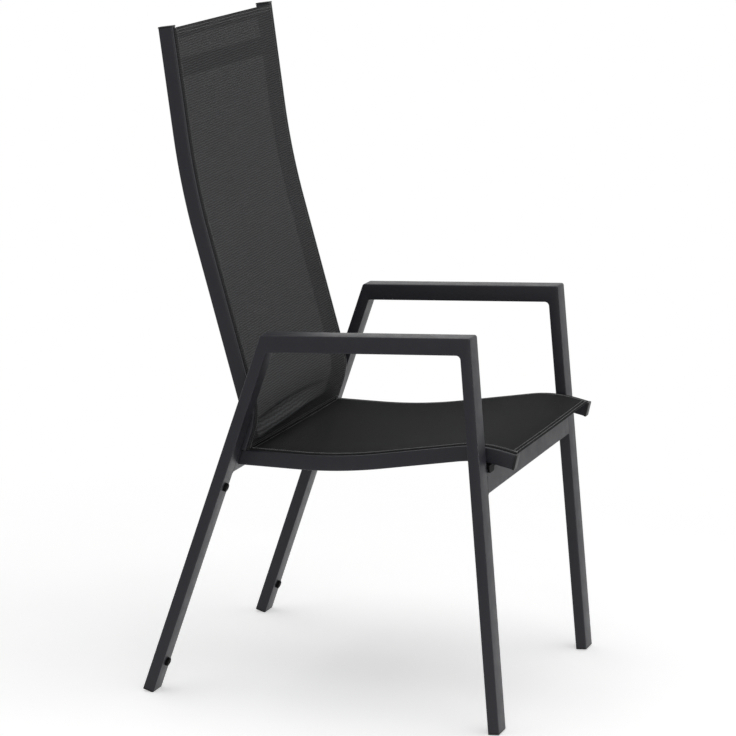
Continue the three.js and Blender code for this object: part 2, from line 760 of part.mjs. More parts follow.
function saddle() {
  const lean = frontLeanDegrees;
  const padTop = undersideAt(apronTop.x) - seatGap;
  const face = besides(apronTop, lean, -seatGap);
  const padBase = face.clone().addScaledVector(leanVector(lean), seatGap);
  const outside = besides(face, lean, -saddleTongue);
  const drop = leanVector(lean).multiplyScalar(-saddleDrop);
  const rear = besides(padBase, lean, legThickness);
  const outline = [
    outside.clone().add(drop),
    face.clone().add(drop),
    padBase,
    rear,
    vec2(rear.x, padTop),
    vec2(outside.x, padTop),
  ];
  const width = saddleWidth;
  const block = acrossChair(outline, width).translate(-saddleInset - width / 2, 0, 0);
  const low = outline[0].y;
  const front = rounded(-saddleInset - width, -saddleInset, low, padTop + saddleRounding, saddleRounding, 4);
  const reach = overrun + saddleWidth;
  const shield = extruded(front, 2 * reach).rotateX(Math.PI / 2).translate(0, apronTop.x + reach, 0);
  return cut(splayed(common(block, shield)), seatBoltHole());
}

// The seat bolt comes up through the apron and the saddle into the rail's chamber.
const seatBoltFoot = besides(apronFoot, frontLeanDegrees, legThickness / 2);
const railFloorAbove = undersideAt(seatBoltFoot.x + crossHeight * Math.tan(radians(frontLeanDegrees)));
const seatBoltGrip = (railFloorAbove + railWall - seatBoltFoot.y) / leanVector(frontLeanDegrees).y;
const seatBoltInset = seatRailInset + railWidth / 2;

function placedSeatBolt(geometry) {
  return splayed(leaning(geometry.translate(-seatBoltInset, 0, 0), frontLeanDegrees, seatBoltFoot));
}

function seatBoltHole() {
  const top = seatBoltGrip + railWall;
  const tool = drill(boltRadius + holeClearance, top + overrun).translate(0, 0, (top - overrun) / 2);
  return placedSeatBolt(tool);
}

function bolt(grip) {
  return turned([
    [0, -seatGap - boltHeadHeight + boltSocketDepth],
    [boltSocketRadius, -seatGap - boltHeadHeight + boltSocketDepth],
    [boltSocketRadius, -seatGap - boltHeadHeight],
    [boltHeadRadius / 2, -seatGap - boltHeadHeight],
    [boltHeadRadius, -seatGap - boltHeadHeight / 3],
    [boltHeadRadius, -seatGap],
    [boltRadius, -seatGap],
    [boltRadius, grip],
    [0, grip],
  ]);
}

function nut() {
  const hexagon = arc(vec2(0, 0), nutRadius, 0, 300, 5);
  return extruded(hexagon, nutHeight, [circle(boltRadius + holeClearance)]);
}

const seatBolt = () => placedSeatBolt(bolt(seatBoltGrip + seatGap + nutHeight + boltPastNut));
const seatNut = () => placedSeatBolt(nut().translate(0, 0, seatBoltGrip + railWall / 2 + seatGap));

// The back bolt goes from the back rail's inner face, through a spacer, into the rear leg's inner wall.
const backBoltStart = backHalfWidth - railWidth;

function placedBackBolt(geometry, x = backBoltStart) {
  return geometry.rotateY(Math.PI / 2).translate(x, backBoltPlace.x, backBoltPlace.y);
}

function backBoltHole() {
  const length = legInnerX + tubeWall * 2 - backBoltStart;
  return placedBackBolt(drill(boltRadius + holeClearance, length + railWall * 2).translate(0, 0, length / 2));
}

const backBolt = () =>
  placedBackBolt(bolt(legInnerX + tubeWall + seatGap + nutHeight + boltPastNut - backBoltStart));
const backNut = () => placedBackBolt(nut(), legInnerX + tubeWall + seatGap * 2);

function backSpacer() {
  const length = legInnerX - backHalfWidth - 2 * seatGap - spacerRadius * 2 * splaySlope;
  const bore = circle(boltRadius + holeClearance);
  return placedBackBolt(extruded(circle(spacerRadius), length, [bore]), backHalfWidth + seatGap);
}

// Finishes
const finishes = {
  powderCoat: { color: 0x3f4144, roughness: 0.42, metalness: 0.25 },
  plastic: { color: 0x141415, roughness: 0.5, metalness: 0 },
  mesh: { color: 0x3b3c3e, roughness: 0.8, metalness: 0 },
  cord: { color: 0x55565a, roughness: 0.6, metalness: 0 },
  steel: { color: 0x8f9194, roughness: 0.35, metalness: 0.9 },
};

const chair = new THREE.Group();

function add(name, geometry, finish) {
  const mesh = new THREE.Mesh(geometry, new THREE.MeshStandardMaterial(finishes[finish]));
  mesh.name = name;
  mesh.geometry.computeVertexNormals();
  chair.add(mesh);
}

// Pieces that each side has, built for the sitter's left.
const sidePieces = {
  front_leg: [frontLeg(), 'powderCoat'],
  rear_leg: [rearLeg(), 'powderCoat'],
  armrest: [armrest(), 'powderCoat'],
  seat_rail: [seatRail(), 'powderCoat'],
  back_rail: [backRail(), 'powderCoat'],
  seat_rail_cap: [seatRailCap(), 'plastic'],
  back_rail_cap: [backRailCap(), 'plastic'],
  seat_keder_rod: [placedSeatRail(kederRod(seatStretch)), 'cord'],
  back_keder_rod: [placedBackRail(kederRod(backStretch)), 'cord'],
  front_foot_cap: [footCap(frontFoot, frontLeanDegrees, frontSole), 'plastic'],
  rear_foot_cap: [footCap(rearFoot, rearLeanDegrees, rearSole), 'plastic'],
  upper_bumper: [bumper(bumperPlaces[0]), 'plastic'],
  lower_bumper: [bumper(bumperPlaces[1]), 'plastic'],
  apron_saddle: [saddle(), 'plastic'],
  seat_bolt: [seatBolt(), 'steel'],
  seat_nut: [seatNut(), 'steel'],
  back_bolt: [backBolt(), 'steel'],
  back_nut: [backNut(), 'steel'],
  back_spacer: [backSpacer(), 'plastic'],
};

for (const [piece, [geometry, finish]] of Object.entries(sidePieces)) {
  add(`left_${piece}`, geometry, finish);
  add(`right_${piece}`, mirrored(geometry), finish);
}
add('front_apron', frontApron(), 'powderCoat');
add('rear_crossbeam', rearCrossbeam(), 'powderCoat');
add('back_top_crossbar', backTopCrossbar(), 'powderCoat');
add('seat_sling', seatSling(), 'mesh');
add('back_sling', backSling(), 'mesh');

// The origin is on the floor under the middle of the chair's bounding box.
const bounds = new THREE.Box3().setFromObject(chair);
const middle = bounds.getCenter(new THREE.Vector3());
chair.position.set(-middle.x, -middle.y, -bounds.min.z);

export default chair;
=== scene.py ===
"""A high-backed, stackable sling armchair. Shapes are worked out in millimetres in the chair's side plane,
with y back and z up, and are turned into metres in the frame's own axes when a mesh is made."""
import math

import bpy
import numpy as np
from mathutils import Matrix


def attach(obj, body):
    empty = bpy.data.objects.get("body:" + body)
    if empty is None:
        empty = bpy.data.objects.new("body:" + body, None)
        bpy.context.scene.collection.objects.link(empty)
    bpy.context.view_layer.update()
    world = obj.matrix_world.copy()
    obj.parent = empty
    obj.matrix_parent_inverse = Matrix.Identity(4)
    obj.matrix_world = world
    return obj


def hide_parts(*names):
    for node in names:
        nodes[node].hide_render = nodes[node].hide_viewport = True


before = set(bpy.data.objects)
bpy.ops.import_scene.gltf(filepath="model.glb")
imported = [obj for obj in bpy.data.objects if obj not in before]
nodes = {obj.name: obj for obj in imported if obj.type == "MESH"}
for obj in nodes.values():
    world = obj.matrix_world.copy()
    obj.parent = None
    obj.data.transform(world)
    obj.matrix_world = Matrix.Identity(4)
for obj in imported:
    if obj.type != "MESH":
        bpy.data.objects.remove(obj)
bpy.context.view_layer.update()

MM = 0.001
SHIFT_Y = -29.87393  # from the side plane's datum to the frame's origin
SIDES = {"left": 1, "right": -1}

# Side frames
FLOOR_WIDTH = 585.3
SPLAY = math.tan(math.radians(0.9155))
TUBE_WIDTH = 40.2
TUBE_WALL = 1.5
TUBE_CORNER = 2.4
TUBE_EDGE = 0.25
TUBE_MOUTH = 26
LEG = 19.2
ARM = 28.3
FRONT_REACH = 289.4
REAR_REACH = 317.3
FRONT_LEAN = 6.645
REAR_LEAN = -17.2
ARM_HEIGHT = 635.5
ARM_LEAN = 94.2
OUTER_BEND = 4.2
FRONT_FILLET = 7.5
REAR_FILLET = 5
GAP = 0.3
CORNER_STEPS = 5
BEND_STEPS = 8

# Foot caps and bumpers
SOLE = 2.5
SOLE_ROUNDING = 0.8
PLUG = 19
FRONT_LAND = 0.5
REAR_LAND = 1
BUMPER_HEIGHTS = {"upper": 361, "lower": 51}

# Cross members
CROSS = 40
WELD = 2.8
APRON_FOOT = (-243.895, 390.601)
BEAM_FOOT = (199.136, 381.726)
BAR = 30
BAR_THICKNESS = 15
BAR_CORNER = 2.0
BAR_WELD = 2.2
BAR_BEHIND = 3.2
BAR_DROP = 85

# Rails: width, depths, the keyhole groove, and the end caps
RAIL = 16.7
SEAT_DEPTH = 25
BACK_DEPTH = 24.5
RAIL_CORNER = 2
GROOVE_MOUTH = 2.8
CHANNEL = 3.5
CHANNEL_DEPTH = 5.1
LIP = 0.35
SEAT_INSET = 54
BACK_HALF = 237.98
CAP_OVER = 0.4
CAP_CORNER = 1.6
SEAT_CAP = 4
BACK_CAP = 2.5

# Slings and their hems
CLOTH = 1.0
PROUD = 1.1
UNDER_LAYER = 0.55
KEDER_LOOP = 2.4
CLOTH_STEP = 6.5
HEM_WIDTH = 4.5
HEM_CLEAR = 0.8
HEM_GAP = 0.05
NOSE_REACH = 212  # the foot hem's fold hangs lower within this distance from the middle
NOSE_FADE = 4
STITCH_PITCH = 3.5

rng = np.random.default_rng(7)


def lean_vector(degrees):
    return np.array([math.sin(math.radians(degrees)), math.cos(math.radians(degrees))])


def besides(p, lean, distance):
    a = lean_vector(lean)
    return np.array([p[0] + a[1] * distance, p[1] - a[0] * distance])


def meet(p, lean_p, q, lean_q):
    a, b = lean_vector(lean_p), lean_vector(lean_q)
    d = np.subtract(q, p)
    return np.asarray(p) + a * (d[0] * b[1] - d[1] * b[0]) / (a[0] * b[1] - a[1] * b[0])


def half_width(z):
    return FLOOR_WIDTH / 2 - SPLAY * np.asarray(z)


# Meshes
def new_object(name, vertices, faces, material, uvs=None, sharp=32):
    """A piece from millimetre vertices; uvs is one (u, v) in metres for each vertex."""
    v = np.asarray(vertices, float)
    v = np.column_stack([v[:, 0], v[:, 1] + SHIFT_Y, v[:, 2]]) * MM
    mesh = bpy.data.meshes.new(name)
    mesh.from_pydata(v.tolist(), [], [tuple(map(int, f)) for f in faces])
    mesh.validate()
    if uvs is not None:
        layer = mesh.uv_layers.new(name="Cloth")
        corner = np.zeros(len(mesh.loops), np.int32)
        mesh.loops.foreach_get("vertex_index", corner)
        layer.data.foreach_set("uv", np.asarray(uvs, np.float32)[corner].ravel())
    mesh.polygons.foreach_set("use_smooth", np.ones(len(mesh.polygons), bool))
    mesh.set_sharp_from_angle(angle=math.radians(sharp))
    mesh.materials.append(material)
    obj = bpy.data.objects.new(name, mesh)
    bpy.context.scene.collection.objects.link(obj)
    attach(obj, "root")
    return obj


def loft_faces(rings, count, closed=True, lids=True):
    """Quads between `rings` rings of `count` points, and a face over each end."""
    faces = []
    last = count if closed else count - 1
    for k in range(rings - 1):
        for i in range(last):
            j = (i + 1) % count
            a, b = k * count + i, k * count + j
            faces.append((a, b, b + count, a + count))
    if lids:
        faces.append(tuple(reversed(range(count))))
        faces.append(tuple(range((rings - 1) * count, rings * count)))
    return faces


def outward(vertices, faces):
    """The faces, turned round if their solid is inside out."""
    v = np.asarray(vertices, float)
    v = v - v.mean(0)
    volume = 0
    for f in faces:
        for i in range(1, len(f) - 1):
            volume += np.dot(v[f[0]], np.cross(v[f[i]], v[f[i + 1]]))
    return faces if volume > 0 else [tuple(reversed(f)) for f in faces]


class Parts:
    """Several closed bodies that make one piece."""

    def __init__(self):
        self.vertices, self.faces, self.uvs = [], [], []

    def add(self, vertices, faces, uvs=None):
        start = len(self.vertices)
        self.vertices += [tuple(p) for p in vertices]
        self.faces += [tuple(i + start for i in f) for f in outward(vertices, faces)]
        self.uvs += [(0, 0)] * len(vertices) if uvs is None else [tuple(p) for p in uvs]

    def loft(self, rings, **kind):
        flat = [p for ring in rings for p in ring]
        self.add(flat, loft_faces(len(rings), len(rings[0]), **kind))

    def make(self, name, material, slot, sharp=32, cloth=False):
        uvs = self.uvs if cloth else None
        return new_object(name, self.vertices, self.faces, material, uvs, sharp)


def arc(cx, cy, radius, start, end, steps):
    turn = np.radians(np.linspace(start, end, steps + 1))
    return [(cx + radius * math.cos(a), cy + radius * math.sin(a)) for a in turn]


def rounded(x0, x1, y0, y1, r, steps=CORNER_STEPS):
    return [
        *arc(x1 - r, y1 - r, r, 0, 90, steps),
        *arc(x0 + r, y1 - r, r, 90, 180, steps),
        *arc(x0 + r, y0 + r, r, 180, 270, steps),
        *arc(x1 - r, y0 + r, r, 270, 360, steps),
    ]


def bend(corner, back, ahead, radius, steps):
    """Points of the arc that rounds a corner between two unit directions that lead away from it."""
    half = math.acos(float(np.clip(np.dot(back, ahead), -1, 1))) / 2
    middle = (back + ahead) / np.linalg.norm(back + ahead)
    centre = corner + middle * radius / math.sin(half)
    a = corner + back * radius / math.tan(half) - centre
    b = corner + ahead * radius / math.tan(half) - centre
    start = math.atan2(a[1], a[0])
    turn = (math.atan2(b[1], b[0]) - start + math.pi) % (2 * math.pi) - math.pi
    return [
        centre + radius * np.array([math.cos(start + turn * i / steps), math.sin(start + turn * i / steps)])
        for i in range(steps + 1)
    ]


# Materials
class Nodes:
    """A short way to write a material's nodes: a socket or a number goes to each input."""

    def __init__(self, owner, output="OutputMaterial"):
        self.owner = owner
        owner.use_nodes = True
        self.tree = owner.node_tree
        self.tree.nodes.clear()
        self.out = self.tree.nodes.new("ShaderNode" + output)

    def node(self, kind, inputs=None, **settings):
        made = self.tree.nodes.new("ShaderNode" + kind)
        for key, value in settings.items():
            setattr(made, key, value)
        for key, value in (inputs or {}).items():
            if isinstance(value, bpy.types.NodeSocket):
                self.tree.links.new(value, made.inputs[key])
            else:
                made.inputs[key].default_value = value
        return made

    def math(self, operation, a, b=0.0, clamp=False):
        return self.node("Math", {0: a, 1: b}, operation=operation, use_clamp=clamp).outputs[0]

    def noise(self, scale, detail=3.0, roughness=0.55, vector=None, distortion=0.0):
        inputs = {"Scale": scale, "Detail": detail, "Roughness": roughness, "Distortion": distortion}
        inputs["Vector"] = self.position() if vector is None else vector
        return self.node("TexNoise", inputs).outputs["Fac"]

    def position(self):
        return self.node("TexCoord").outputs["Object"]

    def spread(self, value, low, high, start=0.0, end=1.0):
        """Maps low..high to start..end and holds it there."""
        return self.node("MapRange", {0: value, 1: low, 2: high, 3: start, 4: end}).outputs[0]

    def mix(self, factor, a, b):
        return self.node("Mix", {0: factor, 6: a, 7: b}, data_type="RGBA").outputs[2]

    def bump(self, height, strength, distance, normal=None):
        inputs = {"Height": height, "Strength": strength, "Distance": distance}
        if normal is not None:
            inputs["Normal"] = normal
        return self.node("Bump", inputs).outputs[0]

    def principled(self, base, roughness, normal, specular=0.5, metallic=0.0):
        inputs = {"Base Color": base, "Roughness": roughness, "Normal": normal}
        inputs.update({"Specular IOR Level": specular, "Metallic": metallic})
        return self.node("BsdfPrincipled", inputs).outputs[0]

    def finish(self, surface):
        self.tree.links.new(surface, self.out.inputs["Surface"])
        return self.owner


def grey(level, tint=0.0):
    """A neutral, in linear light, with its blue raised by the share that tint gives."""
    return (level, level, level * (1 + tint), 1)


def powder_coat(name, level):
    """Semi-gloss anthracite powder coat: fine orange peel, a faint grain, and paint worn paler on edges."""
    m = Nodes(bpy.data.materials.new(name))
    cloud = m.noise(9, 4)
    grain = m.noise(2600, 2)
    peel = m.noise(520, 2, 0.5)
    pointed = m.node("NewGeometry").outputs["Pointiness"]
    edge = m.spread(pointed, 0.505, 0.56)
    scuffs = m.math("MULTIPLY", m.spread(m.noise(130, 5, 0.7), 0.55, 0.68), edge, True)
    base = m.mix(m.spread(cloud, 0.3, 0.7), grey(level * 0.9, 0.31), grey(level * 1.1, 0.27))
    base = m.mix(m.math("MULTIPLY", m.spread(grain, 0.35, 0.75), 0.35), base, grey(level * 1.7, 0.24))
    base = m.mix(m.math("MULTIPLY", scuffs, 0.35), base, grey(level * 2.6, 0.16))
    rough = m.spread(m.noise(46, 4, 0.6), 0.3, 0.7, 0.36, 0.46)
    normal = m.bump(peel, 0.12, 0.0004, m.bump(grain, 0.08, 0.00012))
    return m.finish(m.principled(base, rough, normal, specular=0.3))


def plastic(name, level, rough=0.5, gloss=0.22):
    """Black moulded plastic with a spark-eroded grain, greyed a little where it is rubbed."""
    m = Nodes(bpy.data.materials.new(name))
    grain = m.noise(1500, 3, 0.6)
    rub = m.spread(m.noise(60, 4, 0.65), 0.5, 0.75)
    base = m.mix(m.math("MULTIPLY", rub, 0.5), grey(level), grey(level * 2.4))
    roughness = m.spread(grain, 0.3, 0.7, rough - 0.06, rough + 0.1)
    return m.finish(m.principled(base, roughness, m.bump(grain, 0.25, 0.00015), specular=gloss))


def steel(name):
    """Stainless steel with fine turned scratches."""
    m = Nodes(bpy.data.materials.new(name))
    scratch = m.noise(900, 4, 0.7, distortion=1.5)
    rough = m.spread(scratch, 0.3, 0.7, 0.26, 0.42)
    base = m.mix(m.spread(m.noise(80), 0.3, 0.7), grey(0.34), grey(0.46))
    return m.finish(m.principled(base, rough, m.bump(scratch, 0.1, 0.0001), metallic=1))


def thread(name, level):
    """Bonded polyester sewing thread, twisted, with a soft shine."""
    m = Nodes(bpy.data.materials.new(name))
    twist = m.noise(2200, 2)
    base = m.mix(m.spread(twist, 0.35, 0.65), grey(level * 0.7), grey(level * 1.25))
    return m.finish(m.principled(base, 0.55, m.bump(twist, 0.3, 0.0001)))


# How the mesh's yarns lie, in metres and as shares of a yarn's pitch
RIB_PITCH = 0.0041  # every fifth weft yarn or so stands a little prouder
YARN_DRIFT = 0.0006
WEFT_SLANT = 0.035
DASH = 0.27  # half the stretch of a pair of warp yarns that a weft dash passes over
GAP_SIDE = 0.3
HEM_EDGE = 0.0015


def hump(m, coordinate):
    """A yarn's round back, 0 to 1, once for each whole step of a coordinate."""
    centred = m.math("SUBTRACT", m.math("FRACT", coordinate), 0.5)
    squared = m.math("MULTIPLY", m.math("MULTIPLY", centred, centred), 4.0)
    return m.math("SQRT", m.math("SUBTRACT", 1.0, squared, True))


def cloth(name, level, warp_pitch, weft_pitch, clarity, rib_shading=0.0, hem_shade_from=1.0, tint=0.04):
    """Coated mesh: weft dashes that pass over pairs of warp yarns, with tiny gaps between the yarns.
    Clarity is how much shows through a gap, the rib strength how much painted light and shade mark the
    proud rows, and the hem start where the painted shade over the doubled hem begins, from the cloth's
    middle."""
    m = Nodes(bpy.data.materials.new(name))
    uv = m.node("UVMap", uv_map="Cloth").outputs[0]
    split = m.node("SeparateXYZ", {0: uv})
    u, v = split.outputs[0], split.outputs[1]

    # Yarn coordinates, one step for each yarn
    wander = m.noise(70, 2, 0.5, vector=uv)
    drift = m.math("MULTIPLY", m.math("SUBTRACT", wander, 0.5), YARN_DRIFT)
    across = m.math("DIVIDE", m.math("ADD", u, drift), warp_pitch)
    slanted = m.math("ADD", v, m.math("MULTIPLY", u, WEFT_SLANT))
    along = m.math("DIVIDE", m.math("ADD", slanted, drift), weft_pitch)

    # Where a weft dash lies over the warp, and the relief that makes
    offset = m.math("MULTIPLY", m.math("MODULO", m.math("FLOOR", along), 2.0), 0.5)
    pair = m.math("FRACT", m.math("ADD", m.math("MULTIPLY", across, 0.5), offset))
    over = m.math("LESS_THAN", m.math("ABSOLUTE", m.math("SUBTRACT", pair, 0.5)), DASH)
    weft = m.math("MULTIPLY", hump(m, along), m.math("ADD", m.math("MULTIPLY", over, 0.5), 0.5))
    bare = m.math("ADD", m.math("MULTIPLY", m.math("SUBTRACT", 1.0, over), 0.4), 0.35)
    height = m.math("MAXIMUM", weft, m.math("MULTIPLY", hump(m, across), bare))
    fibre = m.noise(5200, 2, 0.6, vector=uv)

    # Colour: painted shade in the hollows between yarns and a painted highlight on raised yarns, uneven
    # streaks along the weft, painted light and shade on the proud rows, and painted shade over the doubled
    # hem
    cloud = m.spread(m.noise(14, 4, 0.6, vector=uv), 0.3, 0.7)
    body = m.mix(cloud, grey(level * 0.93, tint), grey(level * 1.07, tint))
    # Painted shade where the yarns lie low, and a painted highlight on the weft dashes that lie over the
    # warp
    colour = m.mix(m.spread(height, 0.35, 1.0), grey(level * 0.45, tint), body)
    colour = m.mix(m.math("MULTIPLY", over, 0.4), colour, grey(level * 1.5, tint))
    streak = m.node("CombineXYZ", {0: m.math("MULTIPLY", u, 0.04), 1: v}).outputs[0]
    streaks = m.spread(m.noise(420, 1, 0.5, vector=streak), 0.35, 0.65)
    paler = m.mix(0.12, colour, grey(level * 1.7, tint))
    darker = m.mix(0.12, colour, grey(level * 0.55, tint))
    colour = m.mix(streaks, darker, paler)
    # The proud rows have no relief of their own here: a painted highlight along each row and painted shade
    # between the rows
    stray = m.math("MULTIPLY", m.math("SUBTRACT", m.noise(110, 2, 0.5, vector=uv), 0.5), 7.0)
    turn = m.math("MULTIPLY", along, 2 * math.pi * weft_pitch / RIB_PITCH)
    wave = m.math("SINE", m.math("ADD", turn, stray))
    rib_light = m.math("ADD", m.math("MULTIPLY", wave, 0.5), 0.5)
    paler = m.mix(rib_shading, colour, grey(level * 2.2, tint))
    darker = m.mix(rib_shading, colour, grey(0, tint))
    colour = m.mix(rib_light, darker, paler)
    # Painted shade over the doubled hem beside the rails: the cloth there is darkened in its colour
    hem = m.spread(m.math("ABSOLUTE", u), hem_shade_from, hem_shade_from + HEM_EDGE)
    colour = m.mix(m.math("MULTIPLY", hem, 0.5), colour, grey(level * 0.3, tint))

    rough = m.spread(fibre, 0.3, 0.7, 0.72, 0.88)
    normal = m.bump(height, 0.55, 0.00025, m.bump(fibre, 0.1, 0.0001))
    surface = m.principled(colour, rough, normal, specular=0.05)
    if clarity <= 0:
        return m.finish(surface)

    # Gaps between the yarns; the sheet's own inner faces are clear, so that each layer counts once
    near_warp = m.math("LESS_THAN", m.math("FRACT", m.math("ADD", across, GAP_SIDE / 2)), GAP_SIDE)
    near_weft = m.math("LESS_THAN", m.math("FRACT", m.math("ADD", along, GAP_SIDE / 2)), GAP_SIDE)
    gap = m.math("MULTIPLY", m.math("MULTIPLY", near_warp, near_weft), clarity)
    inside = m.node("NewGeometry").outputs["Backfacing"]
    shown = {0: m.math("MAXIMUM", gap, inside), 1: surface, 2: m.node("BsdfTransparent").outputs[0]}
    return m.finish(m.node("MixShader", shown).outputs[0])


PAINT = powder_coat("powder_coat", 0.019)
BLACK = plastic("black_plastic", 0.004, rough=0.36, gloss=0.35)
# The saddle takes a duller, darker copy of the black plastic: painted shade for the shade between the leg,
# the apron and the rail
SHADED_SADDLE = plastic("shaded_saddle_plastic", 0.003, rough=0.6, gloss=0.08)
RUBBER = plastic("rubber", 0.003, rough=0.6, gloss=0.1)
STEEL = steel("stainless_steel")
SEAT_CLOTH = cloth("seat_mesh", 0.0218, 0.00095, 0.0007, clarity=0.02)
BACK_CLOTH = cloth("back_mesh", 0.0475, 0.00105, 0.00078, clarity=0.13, rib_shading=0.32, hem_shade_from=0.2175)
HEM_CLOTH = cloth("hem_mesh", 0.024, 0.00105, 0.00078, clarity=0)
# The seat and back stitches share one sewing thread; the back's darker level is painted shade
SEAT_THREAD = thread("seat_thread", 0.24)
SHADED_BACK_THREAD = thread("shaded_back_thread", 0.13)
CORD = plastic("keder_plastic", 0.05, rough=0.55)

# The side frames: one seamless bent outline each, from the front foot over the armrest to the rear foot
front_foot = np.array([-FRONT_REACH, 0.0])
rear_foot = np.array([REAR_REACH, 0.0])
arm_datum = np.array([0.0, ARM_HEIGHT])
arm_under = besides(arm_datum, ARM_LEAN, ARM)
front_back = besides(front_foot, FRONT_LEAN, LEG)
rear_back = besides(rear_foot, REAR_LEAN, LEG)
front_up, rear_up, arm_on = lean_vector(FRONT_LEAN), lean_vector(REAR_LEAN), lean_vector(ARM_LEAN)


def sole_start(lean, land):
    """How far up its leg a sole starts, so that its lowest edge is worn flat on the floor."""
    slope = math.tan(math.radians(lean))
    lowest = max(SOLE_ROUNDING * slope, (LEG - SOLE_ROUNDING) * slope)
    return lowest - land / math.cos(math.radians(lean))


FRONT_SOLE = sole_start(FRONT_LEAN, FRONT_LAND)
REAR_SOLE = sole_start(REAR_LEAN, REAR_LAND)


def frame_stations():
    """Pairs of an outer and an inner point of the side outline, in path order."""
    front_corner = meet(front_foot, FRONT_LEAN, arm_datum, ARM_LEAN)
    front_inside = meet(front_back, FRONT_LEAN, arm_under, ARM_LEAN)
    rear_corner = meet(rear_back, REAR_LEAN, arm_datum, ARM_LEAN)
    rear_inside = meet(rear_foot, REAR_LEAN, arm_under, ARM_LEAN)
    front_out = bend(front_corner, -front_up, arm_on, OUTER_BEND, BEND_STEPS)
    front_in = bend(front_inside, -front_up, arm_on, FRONT_FILLET, BEND_STEPS)
    rear_out = bend(rear_corner, -arm_on, -rear_up, OUTER_BEND, BEND_STEPS)
    rear_in = bend(rear_inside, -arm_on, -rear_up, REAR_FILLET, BEND_STEPS)
    low_front = FRONT_SOLE + SOLE + GAP
    low_rear = REAR_SOLE + SOLE + GAP

    def between(a, b, count):
        return [
            (a[0] + (b[0] - a[0]) * t, a[1] + (b[1] - a[1]) * t) for t in np.linspace(0, 1, count + 1)[1:-1]
        ]

    first = (front_foot + front_up * low_front, front_back + front_up * low_front)
    last = (rear_back + rear_up * low_rear, rear_foot + rear_up * low_rear)
    front_turn = list(zip(front_out, front_in))
    rear_turn = list(zip(rear_out, rear_in))
    return [
        first, *between(first, front_turn[0], 24), *front_turn, *between(front_turn[-1], rear_turn[0], 16),
        *rear_turn, *between(rear_turn[-1], last, 26), last,
    ]


def tube_ring(outer, inner, side, inset=0.0, sink=None):
    """The tube's rounded section at one station; sink moves it along the tube."""
    thick = np.linalg.norm(inner - outer)
    to_inner = (inner - outer) / thick
    shift = np.zeros(2) if sink is None else sink
    ring = []
    corner = max(TUBE_CORNER - inset, 0.4)
    for u, t in rounded(inset, TUBE_WIDTH - inset, inset, thick - inset, corner):
        y, z = outer + to_inner * t + shift
        ring.append((side * (half_width(z) - u), y, z))
    return ring


def side_frame(side):
    """The bent tube, with an open mouth at each foot."""
    first, *middle, last = frame_stations()
    parts = Parts()
    parts.loft([
        tube_ring(*first, side, TUBE_WALL, front_up * TUBE_MOUTH),
        tube_ring(*first, side, TUBE_WALL),
        tube_ring(*first, side, TUBE_EDGE),
        tube_ring(*first, side, 0, front_up * TUBE_EDGE),
        *[tube_ring(outer, inner, side) for outer, inner in middle],
        tube_ring(*last, side, 0, rear_up * TUBE_EDGE),
        tube_ring(*last, side, TUBE_EDGE),
        tube_ring(*last, side, TUBE_WALL),
        tube_ring(*last, side, TUBE_WALL, rear_up * TUBE_MOUTH),
    ])
    return parts


for word, side in SIDES.items():
    piece = side_frame(side).make(word + "_side_frame", PAINT, "frame")
    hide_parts(word + "_front_leg", word + "_rear_leg", word + "_armrest")


# Foot caps: a rounded sole with a worn land, a shoulder under the tube's end, and a plug inside the tube
def foot_cap(foot, lean, sole, side):
    up = lean_vector(lean)
    back = besides(foot, lean, LEG)
    shoulder = sole + SOLE
    inner = TUBE_WALL + GAP
    layers = [
        (2.2, sole), (SOLE_ROUNDING, sole + 0.1), (0.23, sole + 0.35), (0, sole + SOLE_ROUNDING),
        (0, shoulder - TUBE_EDGE), (TUBE_EDGE, shoulder),
        (inner, shoulder), (inner, shoulder + PLUG), (inner + 0.5, shoulder + PLUG + 1),
    ]
    rings = []
    for inset, height in layers:
        ring = tube_ring(foot, back, side, inset, up * height)
        rings.append([(x, y, max(z, 0.0)) for x, y, z in ring])
    parts = Parts()
    parts.loft(rings)
    return parts


for word, side in SIDES.items():
    for end, foot, lean, sole in (
        ("front", front_foot, FRONT_LEAN, FRONT_SOLE), ("rear", rear_foot, REAR_LEAN, REAR_SOLE),
    ):
        piece = foot_cap(foot, lean, sole, side).make(f"{word}_{end}_foot", BLACK, "plastic")
        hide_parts(f"{word}_{end}_foot_cap")


# Stacking bumpers: dimpled buttons on the rear legs' front faces, as outlines of (radius, height) pairs
BUTTON = [
    (2.2, -7), (3, -6.2), (3, GAP / 2), (7.2, GAP / 2), (7.3, 0.6), (7.3, 3.6), (7.08, 4.35), (6.6, 4.9),
    (5.9, 5.22), (5.2, 5.3), (2.9, 5.3), (2.4, 5.1), (1.9, 4.7), (1.2, 4.5), (0.02, 4.5),
]
BUTTON_SIDES = 40


def bumper(height, side):
    up = lean_vector(REAR_LEAN)
    root = rear_foot + up * height / up[1]
    out = -np.array([up[1], -up[0]])

    def place(a, b, h):
        y, z = root + up * b + out * h
        return side * (half_width(z) - TUBE_WIDTH / 2 + a), y, z

    turns = np.linspace(0, 2 * math.pi, BUTTON_SIDES, endpoint=False)
    parts = Parts()
    parts.loft([[place(r * math.cos(a), r * math.sin(a), h) for a in turns] for r, h in BUTTON])
    return parts


for word, side in SIDES.items():
    for level, height in BUMPER_HEIGHTS.items():
        piece = bumper(height, side).make(f"{word}_{level}_button", RUBBER, "bumper", sharp=50)
        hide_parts(f"{word}_{level}_bumper")


# Cross members: the tube's ends run into small painted weld fillets, given as the distance from the end
# and the share of the fillet's size there
WELD_SHARES = [(-0.6, 1.0), (0.0, 0.92), (0.5, 0.66), (1.1, 0.4), (1.8, 0.2), (2.7, 0.06), (3.8, 0.0)]
WELD_RIPPLE = 0.12
RIPPLE_TURN = 2.4
SPANS = 10


